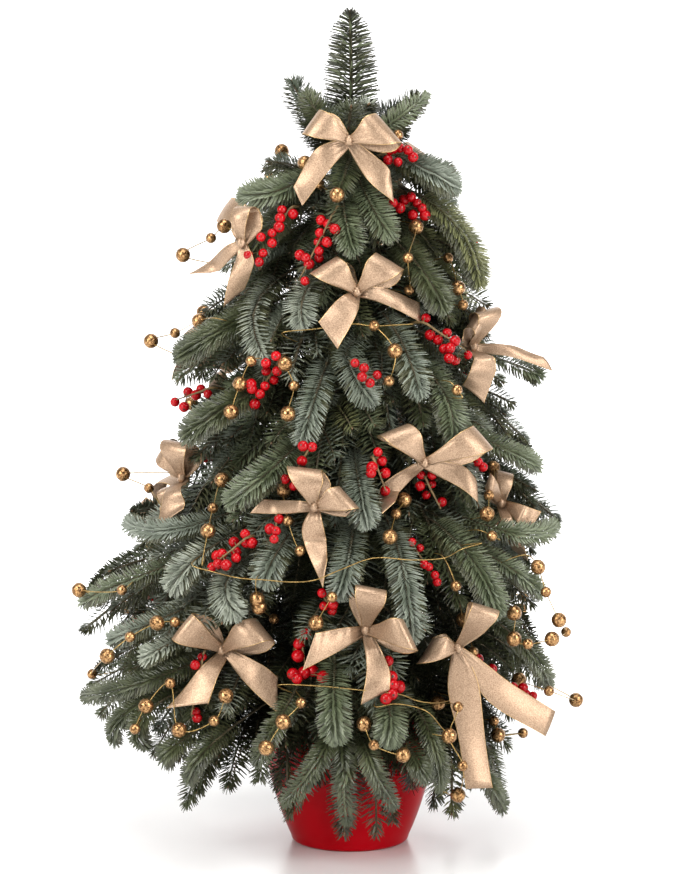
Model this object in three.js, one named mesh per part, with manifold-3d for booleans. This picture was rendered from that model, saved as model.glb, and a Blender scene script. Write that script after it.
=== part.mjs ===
// A table-top Christmas tree: cut fir sprigs pushed into a cone of florist's foam that stands in a round
// red pot. Millimetres, +Z up. The origin is the centre of the pot's flat underside, -Y is the front and
// +X the right. The cone takes the place of a trunk. Each sprig is one piece: a woody stem that starts at
// the cone, a tip shoot and side shoots, with its needles as pointed teeth along both sides of each shoot.
import * as THREE from "three";
import { mergeVertices } from "three/addons/utils/BufferGeometryUtils.js";
import Module from "manifold-3d";

const wasm = await Module();
wasm.setup();

// Driving dimensions
const seed = 27;
const clearance = 0.3; // between pieces that touch on the real tree
const sprigGap = 0.4; // least space between two sprigs
const leastEdge = 0.004; // between two corners of one piece
const pot = {
  height: 116, footRadius: 50, footRound: 4, rimRadius: 78, bellyRadius: 71, bellyHeight: 50,
  wall: 3, floor: 5,
};
const potFacets = 36;
const fillingTop = 106;
const cone = { footRadius: 70, tipRadius: 13, tipHeight: 590, facets: 24 };

// The sprigs stand in tiers from the top down. right, left and front give a tip's distance from the axis
// and its height on those sides of the tree. The back is as the front, and those between follow from their
// direction. root is where the stem leaves the cone, rise the angle at which it leaves, and turn the first
// one's direction. pairs are the side shoots' places along the stem, and needle is how far the needles
// stand out.
const tiers = [
  {
    name: "crown", count: 4, turn: -4, root: 574, rise: 56,
    right: [66, 632], left: [56, 640], front: [46, 618],
    needle: 20, roll: 60, zigzagShare: 0, pairs: [0.46],
  },
  {
    name: "neck", count: 5, turn: 6, root: 548, rise: 26,
    right: [94, 552], left: [96, 562], front: [80, 540],
    needle: 21, roll: 34, zigzagShare: 1, pairs: [0.4],
  },
  {
    name: "collar", count: 6, turn: 20, root: 510, rise: 8,
    right: [118, 468], left: [118, 460], front: [98, 448],
    needle: 21, roll: 28, zigzagShare: 1, pairs: [0.36],
  },
  {
    name: "shoulder", count: 6, turn: 4, root: 458, rise: 2,
    right: [136, 394], left: [150, 410], front: [116, 378],
    needle: 22, roll: 20, zigzagShare: 1, pairs: [0.34],
  },
  {
    name: "breast", count: 6, turn: 20, root: 392, rise: 0,
    right: [162, 318], left: [148, 356], front: [134, 306],
    needle: 23, roll: 20, zigzagShare: 1, pairs: [0.3, 0.58],
  },
  {
    name: "waist", count: 6, turn: 4, root: 326, rise: 2,
    right: [178, 264], left: [190, 268], front: [150, 232],
    needle: 24, roll: 20, zigzagShare: 1, pairs: [0.3, 0.58],
  },
  {
    name: "hip", count: 7, turn: 20, root: 264, rise: 2,
    right: [168, 204], left: [230, 198], front: [160, 160],
    needle: 24, roll: 20, zigzagShare: 1, pairs: [0.3, 0.58],
  },
  {
    name: "hem", count: 7, turn: 14, root: 200, rise: 0,
    right: [176, 122], left: [228, 118], front: [158, 96],
    needle: 24, roll: 18, zigzagShare: 1, pairs: [0.3, 0.58],
  },
  {
    name: "skirt", count: 9, turn: 0, root: 142, rise: 8,
    right: [134, 42], left: [172, 58], front: [97, 36],
    needle: 18, roll: 8, zigzagShare: 0.3, pairs: [0.44],
  },
];
const leader = { root: 582, tip: 704, needle: 22, bareShare: 0.14, crossBareShare: 0.2, crossShorter: 11 };
const scatter = { turn: 4, reach: 0.04, tip: 6, sway: 8 }; // how far a sprig may stray, either way
const zigzag = { root: 9, tip: 15 }; // every other sprig of a tier stands higher than its neighbours

// A shoot is a three-sided twig. These shape it and its teeth, and angles are in degrees.
const shoot = {
  rootRadius: 2.4, tipRadius: 1.1, tipNeedle: 8, bareShare: 0.26, bareSteps: 2, toothStep: 24, leastTeeth: 2,
};
const tooth = { lean: 0.62, lifts: [12, 46] }; // the teeth stand low and high by turns
const side = {
  angle: 40, share: 0.88, stagger: 0.025, forward: 0.3, sag: 0.06, droop: 0.1,
  rootRadius: 1.3, bareShare: 0.14, needleShare: 0.9,
};
// A side shoot without room is made shorter by these shares, or left off.
const sideTries = [1, 0.95, 0.9, 0.84, 0.78, 0.7, 0.62];

const materials = {
  pot: new THREE.MeshStandardMaterial({ name: "pot", color: 0x9c0018, roughness: 0.35 }),
  foam: new THREE.MeshStandardMaterial({ name: "foam", color: 0x26361f, roughness: 0.95 }),
  needles: new THREE.MeshStandardMaterial({ name: "needles", color: 0x46584a, roughness: 0.6 }),
};

const degrees = THREE.MathUtils.degToRad;
const mix = THREE.MathUtils.lerp;

// A small random generator, so that every build gives the same tree.
function randomFrom(start) {
  let state = start >>> 0;
  return () => {
    state = (state + 0x6d2b79f5) >>> 0;
    let t = state;
    t = Math.imul(t ^ (t >>> 15), t | 1);
    t ^= t + Math.imul(t ^ (t >>> 7), t | 61);
    return ((t ^ (t >>> 14)) >>> 0) / 4294967296;
  };
}

// A closed geometry as a solid, and back.
function solidFrom(geometry) {
  const bare = geometry.clone();
  bare.deleteAttribute("normal");
  bare.deleteAttribute("uv");
  const merged = mergeVertices(bare, 1e-3);
  const mesh = new wasm.Mesh({
    numProp: 3,
    vertProperties: new Float32Array(merged.attributes.position.array),
    triVerts: new Uint32Array(merged.index.array),
  });
  return new wasm.Manifold(mesh);
}

function geometryFrom(solid) {
  const mesh = solid.getMesh();
  const geometry = new THREE.BufferGeometry();
  const spots = new Float32Array(mesh.vertProperties);
  geometry.setAttribute("position", new THREE.BufferAttribute(spots, 3));
  geometry.setIndex(new THREE.BufferAttribute(new Uint32Array(mesh.triVerts), 1));
  return geometry;
}

// Whether a join left two corners almost in one place.
function hasCloseCorners(solid) {
  const spots = solid.getMesh().vertProperties;
  for (let i = 0; i < spots.length; i += 3) {
    for (let j = i + 3; j < spots.length; j += 3) {
      const apart = [0, 1, 2].map((k) => spots[i + k] - spots[j + k]);
      if (Math.hypot(...apart) < leastEdge) return true;
    }
  }
  return false;
}

// A profile of [radius, height] points, turned about the upright axis.
function turned(profile, facets) {
  const points = profile.map(([radius, height]) => new THREE.Vector2(radius, height));
  return new THREE.LatheGeometry(points, facets).rotateX(Math.PI / 2);
}

// The pot's outer radius at a share of its height, along one smooth belly.
const potSide = new THREE.QuadraticBezierCurve(
  new THREE.Vector2(pot.footRadius, pot.footRound),
  new THREE.Vector2(pot.bellyRadius, pot.bellyHeight),
  new THREE.Vector2(pot.rimRadius, pot.height),
);

function potRadius(height) {
  const spots = potSide.getPoints(60);
  const above = spots.findIndex((p) => p.y >= height);
  if (above <= 0) return above === 0 ? pot.footRadius : pot.rimRadius;
  const [low, high] = [spots[above - 1], spots[above]];
  return mix(low.x, high.x, (height - low.y) / (high.y - low.y));
}

function potGeometry() {
  const outside = potSide.getPoints(6).map((p) => [p.x, p.y]);
  const insideHeights = [pot.height, 88, 60, 34, pot.floor];
  const inside = insideHeights.map((height) => [potRadius(height) - pot.wall, height]);
  const underside = [[0, 0], [pot.footRadius - pot.footRound, 0]];
  return turned([...underside, ...outside, ...inside, [0, pot.floor]], potFacets);
}

// The foam that fills the pot.
function fillingGeometry() {
  const foot = pot.floor + clearance;
  const heights = [foot, 34, 60, 88, fillingTop];
  const side = heights.map((height) => [potRadius(height) - pot.wall - 2 * clearance, height]);
  return turned([[0, foot], ...side, [0, fillingTop]], potFacets);
}

function coneRadius(height) {
  const share = (height - fillingTop) / (cone.tipHeight - fillingTop);
  return mix(cone.footRadius, cone.tipRadius, share);
}

// The foam cone, or the space that the stems keep clear of when it is grown.
function coneGeometry(grown = 0) {
  const foot = fillingTop + clearance - grown;
  const top = cone.tipHeight + grown;
  const profile = [[0, foot], [coneRadius(foot) + grown, foot], [cone.tipRadius + grown, top], [0, top]];
  return turned(profile, cone.facets);
}

// One shoot as a closed mesh: a three-sided twig along a curve, whose two upper faces each carry a
// pointed tooth at every step after the bare share.
function shootGeometry({ curve, up, length, needle, bareShare, bareSteps, rootRadius }) {
  const teeth = Math.max(shoot.leastTeeth, Math.round((length * (1 - bareShare)) / shoot.toothStep));
  const steps = bareSteps + teeth;
  const bareAt = (i) => (bareShare * i) / bareSteps;
  const leafyAt = (i) => bareShare + ((1 - bareShare) * (i - bareSteps)) / teeth;
  const points = [];
  const faces = [];
  const add = (p) => points.push(p) - 1;
  const rings = [];
  for (let i = 0; i <= steps; i++) {
    const share = i <= bareSteps ? bareAt(i) : leafyAt(i);
    const { at, along, across, over } = frameAt(curve, up, share);
    const radius = mix(rootRadius, shoot.tipRadius, share);
    const corner = (x, z) => {
      const spot = at.clone().addScaledVector(across, x * radius);
      return add(spot.addScaledVector(over, z * radius));
    };
    const corners = { left: corner(1, -0.5), right: corner(-1, -0.5), ridge: corner(0, 1) };
    rings.push({ ...corners, at, along, across, over });
  }
  const quad = (a, b, c, d) => faces.push(a, b, c, a, c, d);
  const spike = (corners, tip) => {
    corners.forEach((corner, k) => faces.push(corner, corners[(k + 1) % corners.length], tip));
  };
  for (let i = 0; i < steps; i++) {
    const [near, far] = [rings[i], rings[i + 1]];
    quad(near.left, far.left, far.right, near.right);
    const leftFace = [near.left, near.ridge, far.ridge, far.left];
    const rightFace = [near.ridge, near.right, far.right, far.ridge];
    if (i < bareSteps) {
      quad(...leftFace);
      quad(...rightFace);
      continue;
    }
    const place = (i - bareSteps + 0.5) / teeth;
    const reach = needle * Math.min(1, 0.72 + place, 1.75 - 1.05 * place);
    for (const [face, hand] of [[leftFace, 1], [rightFace, -1]]) {
      const lift = degrees(tooth.lifts[i % tooth.lifts.length]);
      const tip = near.at.clone().lerp(far.at, 0.5);
      tip.addScaledVector(near.across, hand * reach * Math.cos(lift));
      tip.addScaledVector(near.along, reach * tooth.lean);
      tip.addScaledVector(near.over, reach * Math.sin(lift));
      spike(face, add(tip));
    }
  }
  const end = rings[steps];
  const apex = end.at.clone().addScaledVector(end.along, shoot.tipNeedle);
  spike([end.ridge, end.right, end.left], add(apex));
  faces.push(rings[0].left, rings[0].right, rings[0].ridge);
  const geometry = new THREE.BufferGeometry();
  const spots = points.flatMap((p) => p.toArray());
  geometry.setAttribute("position", new THREE.Float32BufferAttribute(spots, 3));
  geometry.setIndex(faces);
  return geometry;
}

// The place on a curve with its own three directions: along, across to the left, and over it.
function frameAt(curve, up, share) {
  const at = curve.getPoint(share);
  const along = curve.getTangent(share);
  const across = new THREE.Vector3().crossVectors(up, along).normalize();
  const over = new THREE.Vector3().crossVectors(along, across);
  return { at, along, across, over };
}

// A sprig's stem leaves the cone, and its tip shoot ends at the reach and height that its tier gives it.
function stemOf({ direction, root, rise, reach, tip, roll, sway }) {
  const out = new THREE.Vector3(Math.cos(direction), Math.sin(direction), 0);
  const aside = new THREE.Vector3(-Math.sin(direction), Math.cos(direction), 0);
  const start = out.clone().multiplyScalar(coneRadius(root) - 4).setZ(root);
  const finish = out.clone().multiplyScalar(reach - shoot.tipNeedle).setZ(tip);
  finish.addScaledVector(aside, sway);
  const length = start.distanceTo(finish);
  const bend = out.clone().multiplyScalar(Math.cos(rise)).setZ(Math.sin(rise));
  const middle = start.clone().addScaledVector(bend, 0.45 * length);
  const curve = new THREE.QuadraticBezierCurve3(start, middle, finish);
  const up = new THREE.Vector3(0, 0, 1).applyAxisAngle(out, roll);
  return { curve, up, length };
}

// A side shoot leaves the stem at an angle, bends forward along it and droops. It can be made at any scale.
function sideShoot(stem, place, hand) {
  const { at, along, across, over } = frameAt(stem.curve, stem.up, place);
  const length = side.share * stem.length * (1 - place);
  const angle = degrees(side.angle);
  const heading = along.clone().multiplyScalar(Math.cos(angle));
  heading.addScaledVector(across, hand * Math.sin(angle));
  const bent = heading.clone().lerp(along, side.forward).normalize();
  return (scale) => {
    const reach = length * scale;
    const middle = at.clone().addScaledVector(heading, 0.5 * reach);
    const finish = middle.clone().addScaledVector(bent, 0.5 * reach);
    finish.addScaledVector(over, -side.sag * reach);
    finish.z -= side.droop * reach;
    return { curve: new THREE.QuadraticBezierCurve3(at, middle, finish), up: over, length: reach };
  };
}

// The tree, piece by piece. A later sprig keeps clear of every earlier one.
const tree = new THREE.Group();
const grownCone = solidFrom(coneGeometry(clearance));
let placed = [];

function addPiece(name, geometry, material) {
  const mesh = new THREE.Mesh(geometry, material);
  mesh.name = name;
  tree.add(mesh);
}

function spaceOf(name, solid) {
  return { name, solid, box: solid.boundingBox() };
}

function touches(solid, others) {
  const box = solid.boundingBox();
  const beside = (a, b) => [0, 1, 2].every((k) => a.min[k] - sprigGap < b.max[k]);
  return others.some(({ box: other, solid: neighbour }) => {
    return beside(box, other) && beside(other, box) && neighbour.minGap(solid, sprigGap) < sprigGap;
  });
}

addPiece("pot", potGeometry(), materials.pot);
addPiece("pot_filling", fillingGeometry(), materials.foam);
addPiece("foam_cone_trunk", coneGeometry(), materials.foam);
placed.push(spaceOf("pot", solidFrom(potGeometry())));
placed.push(spaceOf("pot_filling", solidFrom(fillingGeometry())));

const random = randomFrom(seed);
const stray = (range) => range * (2 * random() - 1);

const sprigs = [];
for (const tier of tiers) {
  for (let k = 0; k < tier.count; k++) {
    const direction = degrees(tier.turn + (360 * k) / tier.count + stray(scatter.turn));
    const leftShare = (1 - Math.cos(direction)) / 2;
    const frontShare = Math.sin(direction) ** 2;
    const between = (j) => mix(mix(tier.right[j], tier.left[j], leftShare), tier.front[j], frontShare);
    const reach = between(0) * (1 + stray(scatter.reach));
    const step = k % 2 === 0 ? 1 : -1;
    const tip = between(1) + stray(scatter.tip) + step * zigzag.tip * tier.zigzagShare;
    const roll = degrees(stray(tier.roll));
    const sway = stray(scatter.sway);
    const root = tier.root + step * zigzag.root * tier.zigzagShare;
    const stem = stemOf({ direction, root, rise: degrees(tier.rise), reach, tip, roll, sway });
    sprigs.push({
      name: `${tier.name}_sprig_${k + 1}`,
      stem,
      needle: tier.needle,
      pairs: tier.pairs,
      bareShare: shoot.bareShare,
    });
  }
}

// The leader stands on the cone's tip, with two rows of teeth to each side, crossed.
function leaderRow({ up, bareShare, top, rootRadius }) {
  const foot = new THREE.Vector3(0, 0, leader.root);
  const middle = new THREE.Vector3(2, 0, mix(leader.root, top, 0.5));
  const curve = new THREE.QuadraticBezierCurve3(foot, middle, new THREE.Vector3(0, 0, top));
  const length = top - leader.root;
  return solidFrom(
    shootGeometry({ curve, up, length, needle: leader.needle, bareShare, bareSteps: 1, rootRadius }),
  );
}

const leaderTop = leader.tip - shoot.tipNeedle;
const frontRow = leaderRow({
  up: new THREE.Vector3(0, -1, 0), bareShare: leader.bareShare, top: leaderTop, rootRadius: shoot.rootRadius,
});
const crossRow = leaderRow({
  up: new THREE.Vector3(1, 0.2, 0), bareShare: leader.crossBareShare, top: leaderTop - leader.crossShorter,
  rootRadius: 1.5,
});
const leaderSolid = frontRow.add(crossRow).subtract(grownCone);
placed.push(spaceOf("leader", leaderSolid));

// First every stem with its tip shoot, and then the side shoots in the room that is left.
for (const sprig of sprigs) {
  const shape = { ...sprig.stem, needle: sprig.needle, bareShare: sprig.bareShare };
  const geometry = shootGeometry({ ...shape, bareSteps: shoot.bareSteps, rootRadius: shoot.rootRadius });
  sprig.solid = solidFrom(geometry).subtract(grownCone);
  placed.push(spaceOf(sprig.name, sprig.solid));
}
for (const sprig of sprigs) {
  for (const place of sprig.pairs) {
    for (const hand of [1, -1]) {
      const shaped = sideShoot(sprig.stem, place + hand * side.stagger, hand);
      const others = placed.filter((other) => other.name !== sprig.name);
      const shape = {
        needle: sprig.needle * side.needleShare, bareShare: side.bareShare, bareSteps: 1,
        rootRadius: side.rootRadius,
      };
      const joined = sideTries
        .map((scale) => solidFrom(shootGeometry({ ...shaped(scale), ...shape })))
        .filter((solid) => !touches(solid, others))
        .map((solid) => sprig.solid.add(solid))
        .find((solid) => !hasCloseCorners(solid));
      if (joined) {
        sprig.solid = joined;
        placed = [...others, spaceOf(sprig.name, joined)];
      }
    }
  }
}
addPiece("leader", geometryFrom(leaderSolid), materials.needles);
for (const sprig of sprigs) {
  addPiece(sprig.name, geometryFrom(sprig.solid), materials.needles);
}

export default tree;
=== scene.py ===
import math

import bpy
import numpy as np
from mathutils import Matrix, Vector
from mathutils.bvhtree import BVHTree
from mathutils.kdtree import KDTree


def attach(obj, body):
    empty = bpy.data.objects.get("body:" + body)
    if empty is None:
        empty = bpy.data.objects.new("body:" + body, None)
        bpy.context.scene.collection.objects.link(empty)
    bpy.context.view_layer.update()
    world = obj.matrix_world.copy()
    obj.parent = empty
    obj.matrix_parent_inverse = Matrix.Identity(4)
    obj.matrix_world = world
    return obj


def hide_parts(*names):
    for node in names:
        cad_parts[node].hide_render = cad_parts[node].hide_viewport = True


# A table-top Christmas tree of cut fir sprigs in a red pot, with bows, berries and beads.
# The sprigs are worked out in millimetres and turned into metres when their meshes are made.

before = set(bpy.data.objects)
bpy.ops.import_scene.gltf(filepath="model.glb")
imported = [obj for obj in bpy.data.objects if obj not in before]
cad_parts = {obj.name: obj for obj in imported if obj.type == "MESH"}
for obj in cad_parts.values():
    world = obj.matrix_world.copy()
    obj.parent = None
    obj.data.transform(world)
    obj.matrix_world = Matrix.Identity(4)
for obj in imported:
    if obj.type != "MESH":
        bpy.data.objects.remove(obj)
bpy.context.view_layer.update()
mm = 0.001
scene = bpy.context.scene

# Camera, as the photo was taken: from the front, a little above the tree's middle
cameraLook = {
    "place": (0.0, -2.1, 0.53),
    "target": (0.0, 0.0, 0.3435),
    "lens": 103.2,
    "sensor": 36.0,
    "photoSize": (700, 874),
}
cameraData = bpy.data.cameras.new("camera")
cameraData.lens = cameraLook["lens"]
cameraData.sensor_width = cameraLook["sensor"]
camera = bpy.data.objects.new("camera", cameraData)
scene.collection.objects.link(camera)
cameraPlace = Vector(cameraLook["place"])
cameraForward = (Vector(cameraLook["target"]) - cameraPlace).normalized()
camera.location = cameraPlace
camera.rotation_mode = "QUATERNION"
camera.rotation_quaternion = cameraForward.to_track_quat("-Z", "Y")
scene.camera = camera
cameraRight = cameraForward.cross(Vector((0, 0, 1))).normalized()
cameraUp = cameraRight.cross(cameraForward)
photoWidth, photoHeight = cameraLook["photoSize"]
pixelSize = cameraLook["sensor"] / cameraLook["lens"] / max(photoWidth, photoHeight)  # one pixel, 1 m away


def pixelRay(u, v):
    right = cameraRight * ((u - photoWidth / 2) * pixelSize)
    up = cameraUp * ((photoHeight / 2 - v) * pixelSize)
    return (cameraForward + right + up).normalized()


def pixelOf(point):
    # the pixel of a place in millimetres
    offset = Vector(point) * mm - cameraPlace
    depth = offset.dot(cameraForward) * pixelSize
    return photoWidth / 2 + offset.dot(cameraRight) / depth, photoHeight / 2 - offset.dot(cameraUp) / depth


# Materials: what a look doesn't say is as here
usualLook = {
    "mottleDetail": 3.0,
    "mottleRamp": (0.35, 0.65),
    "metallic": 0.0,
    "specular": 0.5,
    "coat": 0.0,
    "coatRoughness": 0.1,
    "roughnessSpread": 0.06,
    "bump": 0.0,
    "bumpDetail": 2.0,
    "bumpDepth": 0.0003,
}


def nodeSurface(name, look):
    # a principled surface with two mottled colours, an uneven roughness and a fine bump
    look = {**usualLook, **look}
    material = bpy.data.materials.new(name)
    material.use_nodes = True
    nodes, links = material.node_tree.nodes, material.node_tree.links
    shader = nodes["Principled BSDF"]
    shader.inputs["Metallic"].default_value = look["metallic"]
    shader.inputs["Specular IOR Level"].default_value = look["specular"]
    shader.inputs["Coat Weight"].default_value = look["coat"]
    shader.inputs["Coat Roughness"].default_value = look["coatRoughness"]
    place = nodes.new("ShaderNodeTexCoord")
    mottle = nodes.new("ShaderNodeTexNoise")
    mottle.inputs["Scale"].default_value = look["mottleScale"]
    mottle.inputs["Detail"].default_value = look["mottleDetail"]
    links.new(place.outputs["Object"], mottle.inputs["Vector"])
    ramp = nodes.new("ShaderNodeValToRGB")
    for number, kind in enumerate(("dark", "light")):
        ramp.color_ramp.elements[number].position = look["mottleRamp"][number]
        ramp.color_ramp.elements[number].color = (*look[kind], 1)
    links.new(mottle.outputs["Fac"], ramp.inputs["Fac"])
    links.new(ramp.outputs["Color"], shader.inputs["Base Color"])
    spread = nodes.new("ShaderNodeMapRange")
    spread.inputs["To Min"].default_value = look["roughness"] - look["roughnessSpread"]
    spread.inputs["To Max"].default_value = look["roughness"] + look["roughnessSpread"]
    links.new(mottle.outputs["Fac"], spread.inputs["Value"])
    links.new(spread.outputs["Result"], shader.inputs["Roughness"])
    if look["bump"]:
        grain = nodes.new("ShaderNodeTexNoise")
        grain.inputs["Scale"].default_value = look["bumpScale"]
        grain.inputs["Detail"].default_value = look["bumpDetail"]
        links.new(place.outputs["Object"], grain.inputs["Vector"])
        bump = nodes.new("ShaderNodeBump")
        bump.inputs["Strength"].default_value = look["bump"]
        bump.inputs["Distance"].default_value = look["bumpDepth"]
        links.new(grain.outputs["Fac"], bump.inputs["Height"])
        links.new(bump.outputs["Normal"], shader.inputs["Normal"])
    return material


# Pieces from arrays
def meshPiece(name, points, quads, triangles, materials, quadKinds=None, triangleKinds=None):
    # points in metres, quads and triangles as rows of point numbers, kinds as material numbers
    quads = np.asarray(quads, np.int64).reshape(-1, 4)
    triangles = np.asarray(triangles, np.int64).reshape(-1, 3)
    mesh = bpy.data.meshes.new(name)
    mesh.vertices.add(len(points))
    mesh.vertices.foreach_set("co", np.asarray(points, np.float32).ravel())
    corners = np.concatenate([quads.ravel(), triangles.ravel()])
    sizes = np.concatenate([np.full(len(quads), 4), np.full(len(triangles), 3)])
    mesh.loops.add(len(corners))
    mesh.loops.foreach_set("vertex_index", corners.astype(np.int32))
    mesh.polygons.add(len(sizes))
    starts = np.concatenate([[0], np.cumsum(sizes)[:-1]])
    mesh.polygons.foreach_set("loop_start", starts.astype(np.int32))
    mesh.polygons.foreach_set("loop_total", sizes.astype(np.int32))
    for material in materials:
        mesh.materials.append(material)
    quadKinds = np.zeros(len(quads), int) if quadKinds is None else quadKinds
    triangleKinds = np.zeros(len(triangles), int) if triangleKinds is None else triangleKinds
    kinds = np.concatenate([quadKinds, triangleKinds]).astype(np.int32)
    mesh.polygons.foreach_set("material_index", kinds)
    mesh.polygons.foreach_set("use_smooth", np.ones(len(sizes), bool))
    mesh.update(calc_edges=True)
    mesh.validate()
    piece = bpy.data.objects.new(name, mesh)
    scene.collection.objects.link(piece)
    return piece


class Batch:
    # gathers many small meshes that become one piece
    def __init__(self):
        self.points, self.quads, self.triangles = [], [], []
        self.quadKinds, self.triangleKinds, self.count = [], [], 0

    def add(self, points, quads=(), triangles=(), kind=0, quadKinds=None, triangleKinds=None):
        quads = np.asarray(quads, np.int64).reshape(-1, 4) + self.count
        triangles = np.asarray(triangles, np.int64).reshape(-1, 3) + self.count
        self.points.append(np.asarray(points, float).reshape(-1, 3))
        self.quads.append(quads)
        self.triangles.append(triangles)
        self.quadKinds.append(np.full(len(quads), kind) if quadKinds is None else quadKinds)
        self.triangleKinds.append(np.full(len(triangles), kind) if triangleKinds is None else triangleKinds)
        self.count += len(self.points[-1])

    def triangleCount(self):
        return sum(2 * len(q) for q in self.quads) + sum(len(t) for t in self.triangles)

    def piece(self, name, materials):
        points, quads, triangles = map(np.concatenate, (self.points, self.quads, self.triangles))
        quadKinds, triangleKinds = map(np.concatenate, (self.quadKinds, self.triangleKinds))
        return meshPiece(name, points * mm, quads, triangles, materials, quadKinds, triangleKinds)


def gridQuads(rows, columns, closed=False):
    # quads between the rows of a grid of points; closed joins the last column to the first
    across = columns if closed else columns - 1
    i, j = np.meshgrid(np.arange(rows - 1), np.arange(across), indexing="ij")
    right, low, high = (j + 1) % columns, i * columns, (i + 1) * columns
    return np.stack([low + j, low + right, high + right, high + j], -1)


def endCaps(rows, columns):
    # triangles over both ends of a closed grid, whose two end points follow its rows
    j = np.arange(columns)
    last, low = (rows - 1) * columns, rows * columns
    start = np.stack([np.full(columns, low), (j + 1) % columns, j], -1)
    end = np.stack([np.full(columns, low + 1), last + j, last + (j + 1) % columns], -1)
    return np.concatenate([start, end])


def ringAngles(columns):
    return 2 * math.pi * np.arange(columns) / columns


def unit(vectors):
    return vectors / np.maximum(np.linalg.norm(vectors, axis=-1, keepdims=True), 1e-12)


def mixed(a, b, share):
    return a + (b - a) * share


upward = np.array([0, 0, 1.0])


def outward(direction):
    # level, away from the tree's axis
    return np.array([math.cos(direction), math.sin(direction), 0])


def asideOf(out):
    # level, a quarter turn on from a direction
    return np.array([-out[1], out[0], 0])


# The tree's own rule, the same as its solids follow, and the same random draws
def randomFrom(start):
    state = [start]

    def draw():
        state[0] = (state[0] + 0x6D2B79F5) & 0xFFFFFFFF
        t = state[0]
        t = ((t ^ (t >> 15)) * (t | 1)) & 0xFFFFFFFF
        t ^= (t + (((t ^ (t >> 7)) * (t | 61)) & 0xFFFFFFFF)) & 0xFFFFFFFF
        return ((t ^ (t >> 14)) & 0xFFFFFFFF) / 4294967296

    return draw


tree = {
    "seed": 27,
    "fillingTop": 106,
    "coneFoot": 70,
    "coneTip": 13,
    "coneHeight": 590,
    "rootDepth": 4,
    "tipNeedle": 8,
    "scatter": {"turn": 4, "reach": 0.04, "tip": 6, "sway": 8},
    "zigzag": {"root": 9, "tip": 15},
    "bough": {"bend": 0.45, "bare": 0.14, "order": 0},
}
# right, left and front: how far from the axis a tip is, and how high
# places: where side shoots leave the stem, as shares of its length
tiers = [
    {"name": "crown", "count": 4, "turn": -4, "root": 574, "rise": 56, "needle": 20, "roll": 60, "zigzag": 0,
     "right": (66, 632), "left": (56, 640), "front": (46, 618), "places": ()},
    {"name": "neck", "count": 5, "turn": 6, "root": 548, "rise": 26, "needle": 17, "roll": 34, "zigzag": 1,
     "right": (94, 552), "left": (96, 562), "front": (80, 540), "places": (0.34, 0.62)},
    {"name": "collar", "count": 6, "turn": 20, "root": 510, "rise": 8, "needle": 17.5, "roll": 28, "zigzag": 1,
     "right": (118, 468), "left": (118, 460), "front": (98, 448), "places": (0.3, 0.56)},
    {"name": "shoulder", "count": 6, "turn": 4, "root": 458, "rise": 2, "needle": 18, "roll": 20, "zigzag": 1,
     "right": (136, 394), "left": (150, 410), "front": (116, 378), "places": (0.28, 0.54)},
    {"name": "breast", "count": 6, "turn": 20, "root": 392, "rise": 0, "needle": 18, "roll": 20, "zigzag": 1,
     "right": (162, 318), "left": (148, 356), "front": (134, 306), "places": (0.26, 0.48, 0.7)},
    {"name": "waist", "count": 6, "turn": 4, "root": 326, "rise": 2, "needle": 18, "roll": 20, "zigzag": 1,
     "right": (178, 264), "left": (190, 268), "front": (150, 232), "places": (0.26, 0.48, 0.7)},
    {"name": "hip", "count": 7, "turn": 20, "root": 264, "rise": 2, "needle": 18, "roll": 20, "zigzag": 1,
     "right": (168, 204), "left": (230, 198), "front": (160, 160), "places": (0.26, 0.48, 0.7)},
    {"name": "hem", "count": 7, "turn": 14, "root": 200, "rise": 0, "needle": 18, "roll": 18, "zigzag": 1,
     "right": (176, 122), "left": (228, 118), "front": (158, 96), "places": (0.26, 0.48, 0.7)},
    {"name": "skirt", "count": 9, "turn": 0, "root": 142, "rise": 8, "needle": 17, "roll": 8, "zigzag": 0.3,
     "right": (134, 42), "left": (172, 58), "front": (97, 36), "places": (0.4,)},
]


def coneRadius(height):
    share = (height - tree["fillingTop"]) / (tree["coneHeight"] - tree["fillingTop"])
    return mixed(tree["coneFoot"], tree["coneTip"], share)


def rootPlace(out, level):
    # where a stem is pushed into the cone
    return out * (coneRadius(level) - tree["rootDepth"]) + upward * level


def tierTip(tier, leftShare, frontShare):
    # how far from the axis a tier's tips are, and how high
    return [mixed(mixed(right, left, leftShare), front, frontShare)
            for right, left, front in zip(tier["right"], tier["left"], tier["front"])]


def tipToward(tier, direction):
    return tierTip(tier, (1 - math.cos(direction)) / 2, math.sin(direction) ** 2)


def outlineRadius(direction, level):
    # how far from the axis the tips of the tiers are, at any height and on any side
    reach, height = zip(*[tipToward(tier, direction) for tier in reversed(tiers)])
    return float(np.interp(level, height, reach))


def curvePoints(shoot, share):
    # places, directions and the two directions across, on a bent stem
    t = np.asarray(share, float)[:, None]
    a, b, c = shoot["curve"]
    at = (1 - t) ** 2 * a + 2 * (1 - t) * t * b + t ** 2 * c
    along = unit(2 * (1 - t) * (b - a) + 2 * t * (c - b))
    across = unit(np.cross(np.broadcast_to(shoot["up"], along.shape), along))
    over = np.cross(along, across)
    return at, along, across, over


def bentStem(direction, root, reach, tip, rise, roll, sway, kind):
    # a stem from its root in the cone to its tip: rise is how steeply it leaves, roll how it is turned
    out = outward(direction)
    start = rootPlace(out, root)
    finish = out * (reach - tree["tipNeedle"]) + upward * tip + asideOf(out) * sway
    length = np.linalg.norm(finish - start)
    bend = out * math.cos(rise) + upward * math.sin(rise)
    up = upward * math.cos(roll) + np.cross(out, upward) * math.sin(roll)
    return {"curve": (start, start + bend * kind["bend"] * length, finish), "up": up, "length": length,
            "bare": kind["bare"], "order": kind["order"]}


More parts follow.
